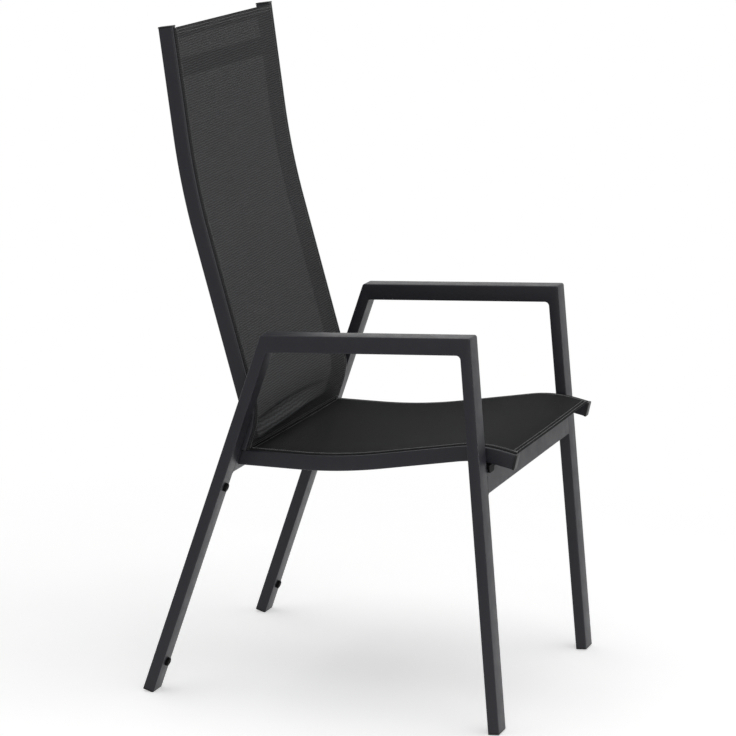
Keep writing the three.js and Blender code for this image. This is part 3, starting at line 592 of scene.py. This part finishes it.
def cross_member(foot, lean, thickness, height, reach, corner=TUBE_CORNER, weld=WELD, flush=True):
    """A tube across the chair whose ends meet a surface at x = reach(z). A flush one has fillets above and
    below only."""
    up = lean_vector(lean)
    back = np.array([up[1], -up[0]])
    half = np.array([thickness, height]) / 2
    section = rounded(0, thickness, 0, height, corner)

    def ring(swell, sign, across):
        """One section; across turns the half width at a height into the section's x there."""
        points = []
        for i, point in enumerate(section):
            way = np.array(point) - half
            swollen = np.sign(way) * (abs(way) > half - corner)
            if flush:
                swollen[0] = 0
            ripple = 1 + WELD_RIPPLE * math.sin(i * RIPPLE_TURN + sign)
            t, h = point + swollen * swell * weld * ripple
            y, z = np.asarray(foot) + back * t + up * h
            points.append((across(float(reach(z))), y, z))
        return points

    rings = [ring(swell, -1, lambda width, gap=gap: gap - width) for gap, swell in WELD_SHARES]
    for k in range(1, SPANS):
        rings.append(ring(0, 1, lambda width, share=2 * k / SPANS - 1: width * share))
    rings += [ring(swell, 1, lambda width, gap=gap: width - gap) for gap, swell in reversed(WELD_SHARES)]
    parts = Parts()
    parts.loft(rings)
    return parts


def leg_inside(z):
    return half_width(z) - TUBE_WIDTH


def rail_inside(_z):
    return BACK_HALF - RAIL


for name, node, foot, lean in (
    ("seat_front_apron", "front_apron", APRON_FOOT, FRONT_LEAN),
    ("seat_rear_beam", "rear_crossbeam", BEAM_FOOT, REAR_LEAN),
):
    piece = cross_member(foot, lean, LEG, CROSS, leg_inside).make(name, PAINT, "frame")
    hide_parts(node)


# Runs of the rails: straights and arcs in the side plane
def run(start, heading, moves):
    """A function from a distance along the run to (y, z, heading), and the run's length. A move is a
    straight's length, or an arc's turn in degrees and its radius."""
    legs = []
    y, z = start
    total = 0.0
    for kind, *values in moves:
        a = math.radians(heading)
        if kind == "straight":
            length = values[0]
            legs.append((total, length, y, z, heading, 0.0))
            y, z = y + length * math.cos(a), z + length * math.sin(a)
        else:
            turn, radius = values
            length = abs(math.radians(turn)) * radius
            curve = math.copysign(1 / radius, turn)
            legs.append((total, length, y, z, heading, curve))
            b = a + math.radians(turn)
            y, z = y + (math.sin(b) - math.sin(a)) / curve, z + (math.cos(a) - math.cos(b)) / curve
            heading += turn
        total += length

    def at(s):
        leg = next((g for g in legs if s <= g[0] + g[1]), legs[-1])
        t = s - leg[0]
        a = math.radians(leg[4])
        if leg[5] == 0:
            return leg[2] + t * math.cos(a), leg[3] + t * math.sin(a), leg[4]
        b = a + t * leg[5]
        y = leg[2] + (math.sin(b) - math.sin(a)) / leg[5]
        z = leg[3] + (math.cos(a) - math.cos(b)) / leg[5]
        return y, z, math.degrees(b)

    return at, total


SEAT_START = (-281.205, 455.992)
SEAT_HEADING = 11.3
BACK_START = (181.583, 418.479)
SEAT_MOVES = [
    ("straight", 19), ("arc", -22.3, 215), ("straight", 132), ("arc", 10.05, 835), ("straight", 92.2),
]
BACK_MOVES = [
    ("straight", 30), ("arc", -34.6, 105), ("straight", 278), ("arc", 7.8, 1250), ("straight", 176),
]
seat_at, SEAT_LENGTH = run(SEAT_START, SEAT_HEADING, SEAT_MOVES)
back_at, BACK_LENGTH = run(BACK_START, 90 - REAR_LEAN, BACK_MOVES)


def raised(station, n):
    """The side-plane point a height n over a rail's face."""
    y, z, heading = station
    a = math.radians(heading)
    return np.array([y - n * math.sin(a), z + n * math.cos(a)])


def rail_section(depth):
    """The extrusion's outline: u goes inboard, n out of the rail's face."""
    r = RAIL_CORNER
    centre = RAIL / 2
    mouth = GROOVE_MOUTH / 2
    half = math.degrees(math.asin(mouth / CHANNEL))
    return [
        *arc(RAIL - r, -r, r, 0, 90, CORNER_STEPS),
        (centre + mouth + LIP, 0), (centre + mouth, -LIP),
        *arc(centre, -CHANNEL_DEPTH, CHANNEL, 90 - half, half - 270, 16),
        (centre - mouth, -LIP), (centre - mouth - LIP, 0),
        *arc(r, -r, r, 90, 180, CORNER_STEPS),
        *arc(r, r - depth, r, 180, 270, CORNER_STEPS),
        *arc(RAIL - r, r - depth, r, 270, 360, CORNER_STEPS),
    ]


def rail_stations(at, length, step):
    return [at(s) for s in np.linspace(0, length, int(length / step) + 1)]


def seat_rail(side):
    """Its rear end is cut along the rear legs' front faces."""
    section = rail_section(SEAT_DEPTH)
    rings = []
    stations = rail_stations(seat_at, SEAT_LENGTH, 9.0)
    for k, station in enumerate(stations):
        ring = []
        for u, n in section:
            y, z = raised(station, n)
            if k == len(stations) - 1:
                plane = besides(rear_foot, REAR_LEAN, -GAP)
                y, z = meet((y, z), 90 - station[2], plane, REAR_LEAN)
            ring.append((side * (half_width(z) - SEAT_INSET - u), y, z))
        rings.append(ring)
    parts = Parts()
    parts.loft(rings)
    return parts


def back_rail(side):
    section = rail_section(BACK_DEPTH)
    rings = []
    for station in rail_stations(back_at, BACK_LENGTH, 6.0):
        rings.append([(side * (BACK_HALF - u), *raised(station, n)) for u, n in section])
    parts = Parts()
    parts.loft(rings)
    return parts


for word, side in SIDES.items():
    piece = seat_rail(side).make(word + "_seat_extrusion", PAINT, "rail")
    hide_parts(word + "_seat_rail")
    piece = back_rail(side).make(word + "_back_extrusion", PAINT, "rail")
    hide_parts(word + "_back_rail")

top = back_at(BACK_LENGTH)
bar_lean = 90 - top[2]
bar_foot = besides((top[0], top[1]), bar_lean, BAR_BEHIND) - lean_vector(bar_lean) * BAR_DROP
bar = cross_member(bar_foot, bar_lean, BAR_THICKNESS, BAR, rail_inside, BAR_CORNER, BAR_WELD, flush=False)
piece = bar.make("back_top_bar", PAINT, "rail")
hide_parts("back_top_crossbar")


# Rail end caps: a lid with rounded edges, a little larger than the rail, and a plug in the rail's chamber
def rail_cap(depth, thickness, station, past, outer):
    """Rings of a cap on a rail that ends at a station; past is -1 before the run's start and 1 beyond its
    end, and outer gives the rail's outer side at a height."""
    a = math.radians(station[2])
    along = np.array([math.cos(a), math.sin(a)]) * past
    lid = [(1.5, thickness), (0.7, thickness - 0.12), (0.2, thickness - 0.5), (0, thickness - 1.1), (0, 0)]
    plug = [(2.4, 0), (2.4, -15), (2.9, -16)]
    layers = [(inset - CAP_OVER, CAP_OVER - inset, height) for inset, height in lid]
    layers += [(inset, -(CHANNEL_DEPTH + CHANNEL + 1.9), height) for inset, height in plug]
    rings = []
    for inset, top_n, height in layers:
        ring = []
        for u, n in rounded(inset, RAIL - inset, inset - depth, top_n, CAP_CORNER, 4):
            py, pz = raised(station, n) + along * (height + GAP)
            ring.append((outer(pz) - u, py, pz))
        rings.append(ring)
    return rings


for word, side in SIDES.items():
    for name, rings, node in (
        ("seat", rail_cap(SEAT_DEPTH, SEAT_CAP, seat_at(0), -1, lambda z: half_width(z) - SEAT_INSET),
         "seat_rail_cap"),
        ("back", rail_cap(BACK_DEPTH, BACK_CAP, back_at(BACK_LENGTH), 1, lambda z: BACK_HALF),
         "back_rail_cap"),
    ):
        parts = Parts()
        parts.loft([[(side * x, y, z) for x, y, z in ring] for ring in rings])
        piece = parts.make(f"{word}_{name}_end_cap", BLACK, "plastic", sharp=40)
        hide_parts(f"{word}_{node}")


# Cloth: puckers beside the stitches, and the folds at the back's foot
PUCKER = 0.16
PUCKER_REACH = 9
PUCKER_PITCH = 3.4
PUCKER_DRIFT = 40
VALLEY = 41
VALLEY_RISE = 15
VALLEY_SPAN = 235
VALLEY_ABOVE = 5
VALLEY_BELOW = 7
SWELL = 7
SWELL_SHARE = 0.62
RAIL_ROOM = 7
FADE_MIDDLE = 25
FADE = 34


class Panel:
    """A sling between two rails: x runs across the chair from its middle, s along the rails, n out of the
    cloth. The seam is how far from the middle the stitches pucker it, and slack how deep its folds are."""

    def __init__(self, at, groove, middle_sag, edge_sag, start, end, seam, slack=0.0):
        self.at, self.groove = at, groove
        self.middle_sag, self.edge_sag = middle_sag, edge_sag
        self.start, self.end = start, end
        self.seam, self.slack = seam, slack

    def inner(self, z):
        """Half the width between the rails."""
        return float(self.groove(z)) - RAIL / 2

    def height(self, x, s, z):
        """How far the cloth's middle surface lies over the rails' faces."""
        share = (s - self.start) / (self.end - self.start)
        sag = self.edge_sag + (self.middle_sag - self.edge_sag) * math.sin(math.pi * min(max(share, 0), 1))
        r = min(abs(x) / self.inner(z), 1.0)
        if r == 1:
            return PROUD
        ripple = math.sin(s / PUCKER_PITCH + 2 * math.sin(x / PUCKER_DRIFT))
        pucker = PUCKER * ripple * math.exp(-(((abs(x) - self.seam) / PUCKER_REACH) ** 2))
        return PROUD - sag * (1 - r * r) + self.folds(x, s) + pucker

    def folds(self, x, s):
        """Slack over the foot: a valley that arches from the sitter's right rail, and a swell below it."""
        room = (self.inner(0) - abs(x)) / RAIL_ROOM
        if not self.slack or room <= 0:
            return 0.0
        bottom = VALLEY + VALLEY_RISE * (1 - (x / VALLEY_SPAN) ** 2)
        fade = min(room, 1) / (1 + math.exp((x - FADE_MIDDLE) / FADE))
        valley = math.exp(-(((s - bottom) / (VALLEY_ABOVE if s > bottom else VALLEY_BELOW)) ** 2))
        swell = math.exp(-(((s - bottom * SWELL_SHARE) / SWELL) ** 2))
        return self.slack * fade * (swell - valley)

    def point(self, x, s, n=0.0):
        """A place n over the cloth's middle surface."""
        station = self.at(s)
        y, z = raised(station, self.height(x, s, station[1]) + n)
        return x, y, z

    def out(self, s):
        """The way out of the rails' faces."""
        a = math.radians(self.at(s)[2])
        return np.array([0.0, -math.sin(a), math.cos(a)])


def slab(parts, lower, upper, ss):
    """Closes two grids of equal size into one body; its uv is x and the distance along the rails."""
    rows, cols = len(lower), len(lower[0])
    vertices, uvs = [], []
    for grid in (lower, upper):
        for k, row in enumerate(grid):
            for p in row:
                vertices.append(p)
                uvs.append((p[0] * MM, ss[k] * MM))
    half = rows * cols
    faces = []
    for k in range(rows - 1):
        for i in range(cols - 1):
            a = k * cols + i
            faces.append((a, a + cols, a + cols + 1, a + 1))
            faces.append((half + a, half + a + 1, half + a + cols + 1, half + a + cols))
    for i in range(cols - 1):
        faces.append((i, i + 1, half + i + 1, half + i))
        a = (rows - 1) * cols + i
        faces.append((a + 1, a, half + a, half + a + 1))
    for k in range(rows - 1):
        a = k * cols
        faces.append((a + cols, a, half + a, half + a + cols))
        a = k * cols + cols - 1
        faces.append((a, a + cols, half + a + cols, half + a))
    parts.add(vertices, faces, uvs)


def loop_profile(groove):
    """The cloth's way round the rod, up through the mouth and over onto the rail's face, as (x, n)."""
    turn = np.radians(np.linspace(135, 405, 13))
    way = [(groove + KEDER_LOOP * math.cos(a), -CHANNEL_DEPTH + KEDER_LOOP * math.sin(a)) for a in turn]
    lip = groove + 0.55
    way += [(groove + 0.3, -CHANNEL_DEPTH + KEDER_LOOP * 1.5), (lip, -1.2), (lip, 0.0)]
    turn_over = 1.0
    for a in np.radians([15, 40, 65]):
        way.append((lip - turn_over * (1 - math.cos(a)), PROUD - turn_over * (1 - math.sin(a))))
    return way


def thickened(line):
    """The two faces of a cloth of even thickness whose middle line is given."""
    pts = np.array(line)
    ahead = np.roll(pts, -1, axis=0)
    ahead[-1] = 2 * pts[-1] - pts[-2]
    behind = np.roll(pts, 1, axis=0)
    behind[0] = 2 * pts[0] - pts[1]
    into = (pts - behind) / np.linalg.norm(pts - behind, axis=1)[:, None]
    out = (ahead - pts) / np.linalg.norm(ahead - pts, axis=1)[:, None]
    along = into + out
    along /= np.linalg.norm(along, axis=1)[:, None]
    spread = np.maximum((along * into).sum(1), 0.5)
    lateral = np.column_stack([-along[:, 1], along[:, 0]]) / spread[:, None]
    return [pts + lateral * sign * CLOTH / 2 for sign in (-1, 1)]


def panel_mesh(panel, ss, columns=64):
    """The whole sling, hem loops and panel, as one cloth. Its uv is measured along it from its middle."""
    grids = ([], [])
    uvs = []
    for s in ss:
        station = panel.at(s)
        z = station[1]
        groove = float(panel.groove(z))
        edge = loop_profile(groove)
        middle = [(groove - 0.45) * a for a in np.linspace(1, -1, columns + 1)]
        line = [*edge, *[(x, panel.height(x, s, z)) for x in middle], *[(-x, n) for x, n in reversed(edge)]]
        for grid, face in zip(grids, thickened(line)):
            grid.append([(x, *raised(station, n)) for x, n in face])
        steps = np.linalg.norm(np.diff(np.array(line), axis=0), axis=1)
        measure = np.concatenate([[0], np.cumsum(steps)])
        uvs += [((m - measure[-1] / 2) * MM, s * MM) for m in measure]
    parts = Parts()
    slab(parts, *grids, ss)
    parts.uvs = uvs * 2
    return parts


def stations_between(start, end, extra=()):
    count = max(2, int(round((end - start) / CLOTH_STEP)))
    return sorted({*np.round(np.linspace(start, end, count + 1), 4).tolist(), *extra})


def folded_hem(panel, edge_s, inward, depth, nose=0.0):
    """A hem that turns over the cloth's end and lies behind it, between the rails; its outline is (s from
    the end, n). Inward is +1 where the cloth runs on towards larger s, and the nose is how far the fold
    hangs past the cloth's end between the seat rails."""
    back = -(CLOTH / 2 + HEM_GAP)
    low = back - CLOTH * 0.9
    centre = (low + CLOTH / 2) / 2
    radius = (CLOTH / 2 - low) / 2
    outline = [(inward * depth, back), (inward * depth, low)]
    outline += [
        (-inward * (0.25 + radius * 0.9 * math.cos(a)), centre + radius * math.sin(a))
        for a in np.linspace(-math.pi / 2, math.pi / 2, 7)
    ]
    outline += [(inward * 0.05, CLOTH / 2 + 0.01), (inward * 0.05, back)]
    rings = []
    measure = []
    for a in np.linspace(-1, 1, 89):
        ring = []
        for ds, n in outline:
            s = edge_s + ds
            x = a * (panel.inner(panel.at(s)[1]) - HEM_CLEAR)
            if ds * inward < -0.1:
                s -= inward * nose * min(max((NOSE_REACH - abs(x)) / NOSE_FADE, 0), 1)
            ring.append(panel.point(x, s, n))
            measure.append((x * MM, (edge_s + abs(ds) * 0.8 - n * 2) * MM))
        rings.append(ring)
    parts = Parts()
    flat = [p for ring in rings for p in ring]
    parts.add(flat, loft_faces(len(rings), len(outline)), measure)
    return parts


def side_hems(panel, ss):
    """Under layers of the side hems, sewn beneath the cloth from the rail's mouth inwards."""
    columns = 7
    layers = [UNDER_LAYER] * (columns - 1) + [UNDER_LAYER / 2]
    parts = Parts()
    for sign in (1, -1):
        lower, upper = [], []
        for s in ss:
            z = panel.at(s)[1]
            xs = np.linspace(float(panel.groove(z)) - 1.6, panel.inner(z) - HEM_WIDTH, columns)
            under = -CLOTH / 2
            lower.append([panel.point(sign * x, s, under - layer + 0.02) for x, layer in zip(xs, layers)])
            upper.append([panel.point(sign * x, s, under - 0.01) for x in xs])
        slab(parts, lower, upper, ss)
    return parts


# One stitch, as (share of its length, share of its radius) pairs
STITCH_SHARES = [(-0.5, 0.15), (-0.42, 0.75), (-0.2, 1.0), (0.2, 1.0), (0.42, 0.75), (0.5, 0.15)]
STITCH = 3.0
STITCH_RADIUS = 0.33
STITCH_SLANT = 0.12


def stitches(places):
    """Rounded stitches, each from a place (point, direction along the seam, direction out of the cloth)."""
    parts = Parts()
    turns = np.linspace(0, 2 * math.pi, 6, endpoint=False)
    for point, along, out in places:
        along = along / np.linalg.norm(along)
        out = out - along * np.dot(out, along)
        out = out / np.linalg.norm(out)
        across = np.cross(out, along)
        wobble = STITCH_SLANT + 0.05 * rng.standard_normal()
        direction = along * math.cos(wobble) + across * math.sin(wobble)
        aside = np.cross(out, direction)
        size = STITCH * (1 + 0.06 * rng.standard_normal())
        rings = []
        for t, r in STITCH_SHARES:
            centre = point + direction * t * size + out * (STITCH_RADIUS * 0.55 * (r - 0.4))
            rings.append([
                centre + (aside * math.cos(a) + out * math.sin(a) * 0.8) * STITCH_RADIUS * r for a in turns
            ])
        parts.loft(rings)
    return parts


def seam_along(panel, offset, sign):
    """Stitch places down a side hem, at a distance inboard from the rail's inner edge."""
    def spot(s):
        x = sign * (panel.inner(panel.at(s)[1]) - offset)
        return np.array(panel.point(x, s, CLOTH / 2))

    marks = np.arange(panel.start + 2, panel.end - 2, STITCH_PITCH)
    return [(spot(s), spot(s + 0.5) - spot(s), panel.out(s)) for s in marks]


def thread_ends(panel, s, sign, count=7):
    """A back-stitched knot and a few loose ends where the rows meet at a corner."""
    places = []
    out = panel.out(s)
    along = np.array([0.0, out[2], -out[1]])
    for _ in range(count):
        aside, ahead, turn = rng.uniform(-2.6, 2.2), rng.uniform(-2.4, 2.4), rng.uniform(0, math.pi)
        x = sign * (panel.inner(panel.at(s)[1]) + aside)
        here = np.array(panel.point(x, s + ahead, CLOTH / 2 + rng.uniform(0.1, 0.5)))
        places.append((here, along * math.cos(turn) + np.array([1.0, 0, 0]) * math.sin(turn), out))
    return places


def seam_across(panel, s):
    """Stitch places across the cloth at a distance along it."""
    def spot(x):
        return np.array(panel.point(x, s, CLOTH / 2))

    reach = panel.inner(panel.at(s)[1]) - 2.5
    marks = np.arange(-reach, reach, STITCH_PITCH)
    return [(spot(x), spot(x + 0.5) - spot(x), panel.out(s)) for x in marks]


seat = Panel(
    seat_at, lambda z: half_width(z) - SEAT_INSET - RAIL / 2,
    middle_sag=7, edge_sag=0.8, start=0, end=SEAT_LENGTH - 9, seam=212.0,
)
back = Panel(
    back_at, lambda z: BACK_HALF - RAIL / 2,
    middle_sag=2.5, edge_sag=0.6, start=1.0, end=BACK_LENGTH - 2.5, seam=219.0, slack=10.5,
)
seat_ss = stations_between(seat.start, seat.end)
back_ss = stations_between(back.start, back.end, np.arange(6, 94, 2.6).tolist())

seat_cloth = panel_mesh(seat, seat_ss).make("seat_cloth", SEAT_CLOTH, "seat_fabric", 60, cloth=True)
back_cloth = panel_mesh(back, back_ss).make("back_cloth", BACK_CLOTH, "back_fabric", 60, cloth=True)
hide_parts("seat_sling")
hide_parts("back_sling")

hems = {"seat": [], "back": []}
for name, place, hem in (
    ("seat", "side_hems", side_hems(seat, seat_ss)),
    ("seat", "front_hem", folded_hem(seat, seat.start, 1, 15)),
    ("seat", "rear_hem", folded_hem(seat, seat.end, -1, 12)),
    ("back", "side_hems", side_hems(back, back_ss)),
    ("back", "top_hem", folded_hem(back, back.end, -1, 17)),
    ("back", "foot_hem", folded_hem(back, back.start, 1, 9.5, nose=3.0)),
):
    hems[name].append(hem.make(f"{name}_{place}", HEM_CLOTH, name + "_fabric", 60, cloth=True))

# Seams: two rows down each side, a knot at each corner, and rows across, measured from the start or the end
for name, panel, finish, rows in (
    ("seat", seat, SEAT_THREAD, (2.8, 8.2, -4.5)),
    ("back", back, SHADED_BACK_THREAD, (2.2, 6.4, -4.0, -9.0)),
):
    places = []
    for sign in (1, -1):
        places += seam_along(panel, -1.6, sign)
        places += seam_along(panel, 1.5, sign)
        places += thread_ends(panel, panel.start + 3.2, sign) + thread_ends(panel, panel.end - 3.2, sign)
    for row in rows:
        places += seam_across(panel, panel.start + row if row > 0 else panel.end + row)
    hems[name].append(stitches(places).make(name + "_stitches", finish, name + "_fabric", 80))

# Nodes that keep their own form take the same finishes
FINISHES = [
    ("bolt", STEEL), ("nut", STEEL), ("keder", CORD), ("saddle", SHADED_SADDLE), ("spacer", BLACK), ("cap", BLACK),
    ("bumper", RUBBER), ("seat_sling", SEAT_CLOTH), ("back_sling", BACK_CLOTH),
]
for node, obj in nodes.items():
    finish = next((material for word, material in FINISHES if word in node), PAINT)
    obj.data.materials.clear()
    obj.data.materials.append(finish)


# Studio: a pale floor, an even pale surround and soft lamps
WHITE = (1, 1, 1, 1)
FLOOR_REACH = 9.0
FLOOR_DROP = 0.0004
LIT_SIDE = (0.6, 0.8, 0.0)


def studio_level(m, direction, rays):
    """White to the camera; reflections see a surround that dims from its lit far side to the near side."""
    lit = m.node("VectorMath", {0: direction, 1: LIT_SIDE}, operation="DOT_PRODUCT").outputs["Value"]
    return m.math("MAXIMUM", m.spread(lit, -0.3, 0.7, 0.45, 1.0), rays.outputs["Is Camera Ray"])


def seen_directly(m, rays):
    """1 for what the camera sees, also reflected or through something, and 0 for the light on things."""
    seen = m.math("MAXIMUM", rays.outputs["Is Camera Ray"], rays.outputs["Is Glossy Ray"])
    return m.math("MAXIMUM", seen, rays.outputs["Is Transmission Ray"])


def floor_material():
    """Catches the object's shadow near it, and turns into the surround's white further out."""
    m = Nodes(bpy.data.materials.new("studio_floor"))
    base = m.mix(m.spread(m.noise(3, 3), 0.3, 0.7), (0.86, 0.86, 0.86, 1), (0.89, 0.89, 0.89, 1))
    diffuse = m.node("BsdfDiffuse", {"Color": base}).outputs[0]
    glow = m.node("Emission", {"Color": WHITE, "Strength": 0.43}).outputs[0]
    both = m.node("AddShader", {0: diffuse, 1: glow}).outputs[0]
    rays = m.node("LightPath")
    reach = m.node("VectorMath", {0: m.position()}, operation="LENGTH").outputs["Value"]
    facing = m.node("VectorMath", {0: m.position()}, operation="NORMALIZE").outputs[0]
    white = m.node("Emission", {"Color": WHITE, "Strength": studio_level(m, facing, rays)}).outputs[0]
    shown = m.node("MixShader", {0: m.spread(reach, 0.7, 1.5), 1: both, 2: white}).outputs[0]
    return m.finish(m.node("MixShader", {0: seen_directly(m, rays), 1: diffuse, 2: shown}).outputs[0])


def stage_floor():
    mesh = bpy.data.meshes.new("floor")
    r = FLOOR_REACH
    mesh.from_pydata([(-r, -r, 0), (r, -r, 0), (r, r, 0), (-r, r, 0)], [], [(0, 1, 2, 3)])
    mesh.materials.append(floor_material())
    floor = bpy.data.objects.new("floor", mesh)
    floor.location.z = -FLOOR_DROP
    bpy.context.scene.collection.objects.link(floor)


def surround():
    m = Nodes(bpy.data.worlds.new("surround"), "OutputWorld")
    rays = m.node("LightPath")
    level = studio_level(m, m.node("TexCoord").outputs["Generated"], rays)
    light = m.node("Background", {"Color": WHITE, "Strength": 0.38}).outputs[0]
    white = m.node("Background", {"Color": WHITE, "Strength": level}).outputs[0]
    return m.finish(m.node("MixShader", {0: seen_directly(m, rays), 1: light, 2: white}).outputs[0])


def lamp(name, place, target, size, watts):
    data = bpy.data.lights.new(name, "AREA")
    data.shape = "RECTANGLE"
    data.size, data.size_y = size
    data.energy = watts
    obj = bpy.data.objects.new(name, data)
    bpy.context.scene.collection.objects.link(obj)
    away = np.subtract(place, target)
    z = away / np.linalg.norm(away)
    x = np.cross([0, 0, 1], z)
    x = x / np.linalg.norm(x)
    place_object(obj, x, np.cross(z, x), z, place)


def place_object(obj, x, y, z, place):
    rows = [[x[i], y[i], z[i], place[i]] for i in range(3)]
    obj.matrix_world = Matrix(rows + [[0, 0, 0, 1]])


stage_floor()
bpy.context.scene.world = surround()
lamp("overhead", (0.0, -0.3, 3.4), (0, 0, 0.4), (3.4, 3.4), 42)
lamp("front_low", (0.5, -3.6, 0.17), (0, 0, 0.5), (3.2, 0.3), 28)
lamp("side_fill", (-4.6, -1.2, 1.5), (0, 0, 0.5), (2.6, 2.2), 46)

# The camera at the photograph's place: its picture is measured in pixels
PICTURE = 736
FOCAL = 3529.38
CENTRE = (372.77, 367.94)
CAMERA_PLACE = (-5.5972, -1.82407, 1.7371)
LOOKING = np.array([0.9308, 0.3052, -0.2011])
RIGHTWARDS = np.array([0.3169, -0.9480, 0.0281])

camera = bpy.data.cameras.new("camera")
camera.sensor_width = 36
camera.lens = FOCAL / PICTURE * camera.sensor_width
camera.shift_x = 0.5 - CENTRE[0] / PICTURE
camera.shift_y = CENTRE[1] / PICTURE - 0.5
camera.clip_end = 60
eye = bpy.data.objects.new("camera", camera)
bpy.context.scene.collection.objects.link(eye)
forward = LOOKING / np.linalg.norm(LOOKING)
right = RIGHTWARDS - forward * np.dot(RIGHTWARDS, forward)
right /= np.linalg.norm(right)
place_object(eye, right, np.cross(right, forward), -forward, CAMERA_PLACE)
bpy.context.scene.camera = eye
bpy.context.scene.view_settings.view_transform = "Standard"
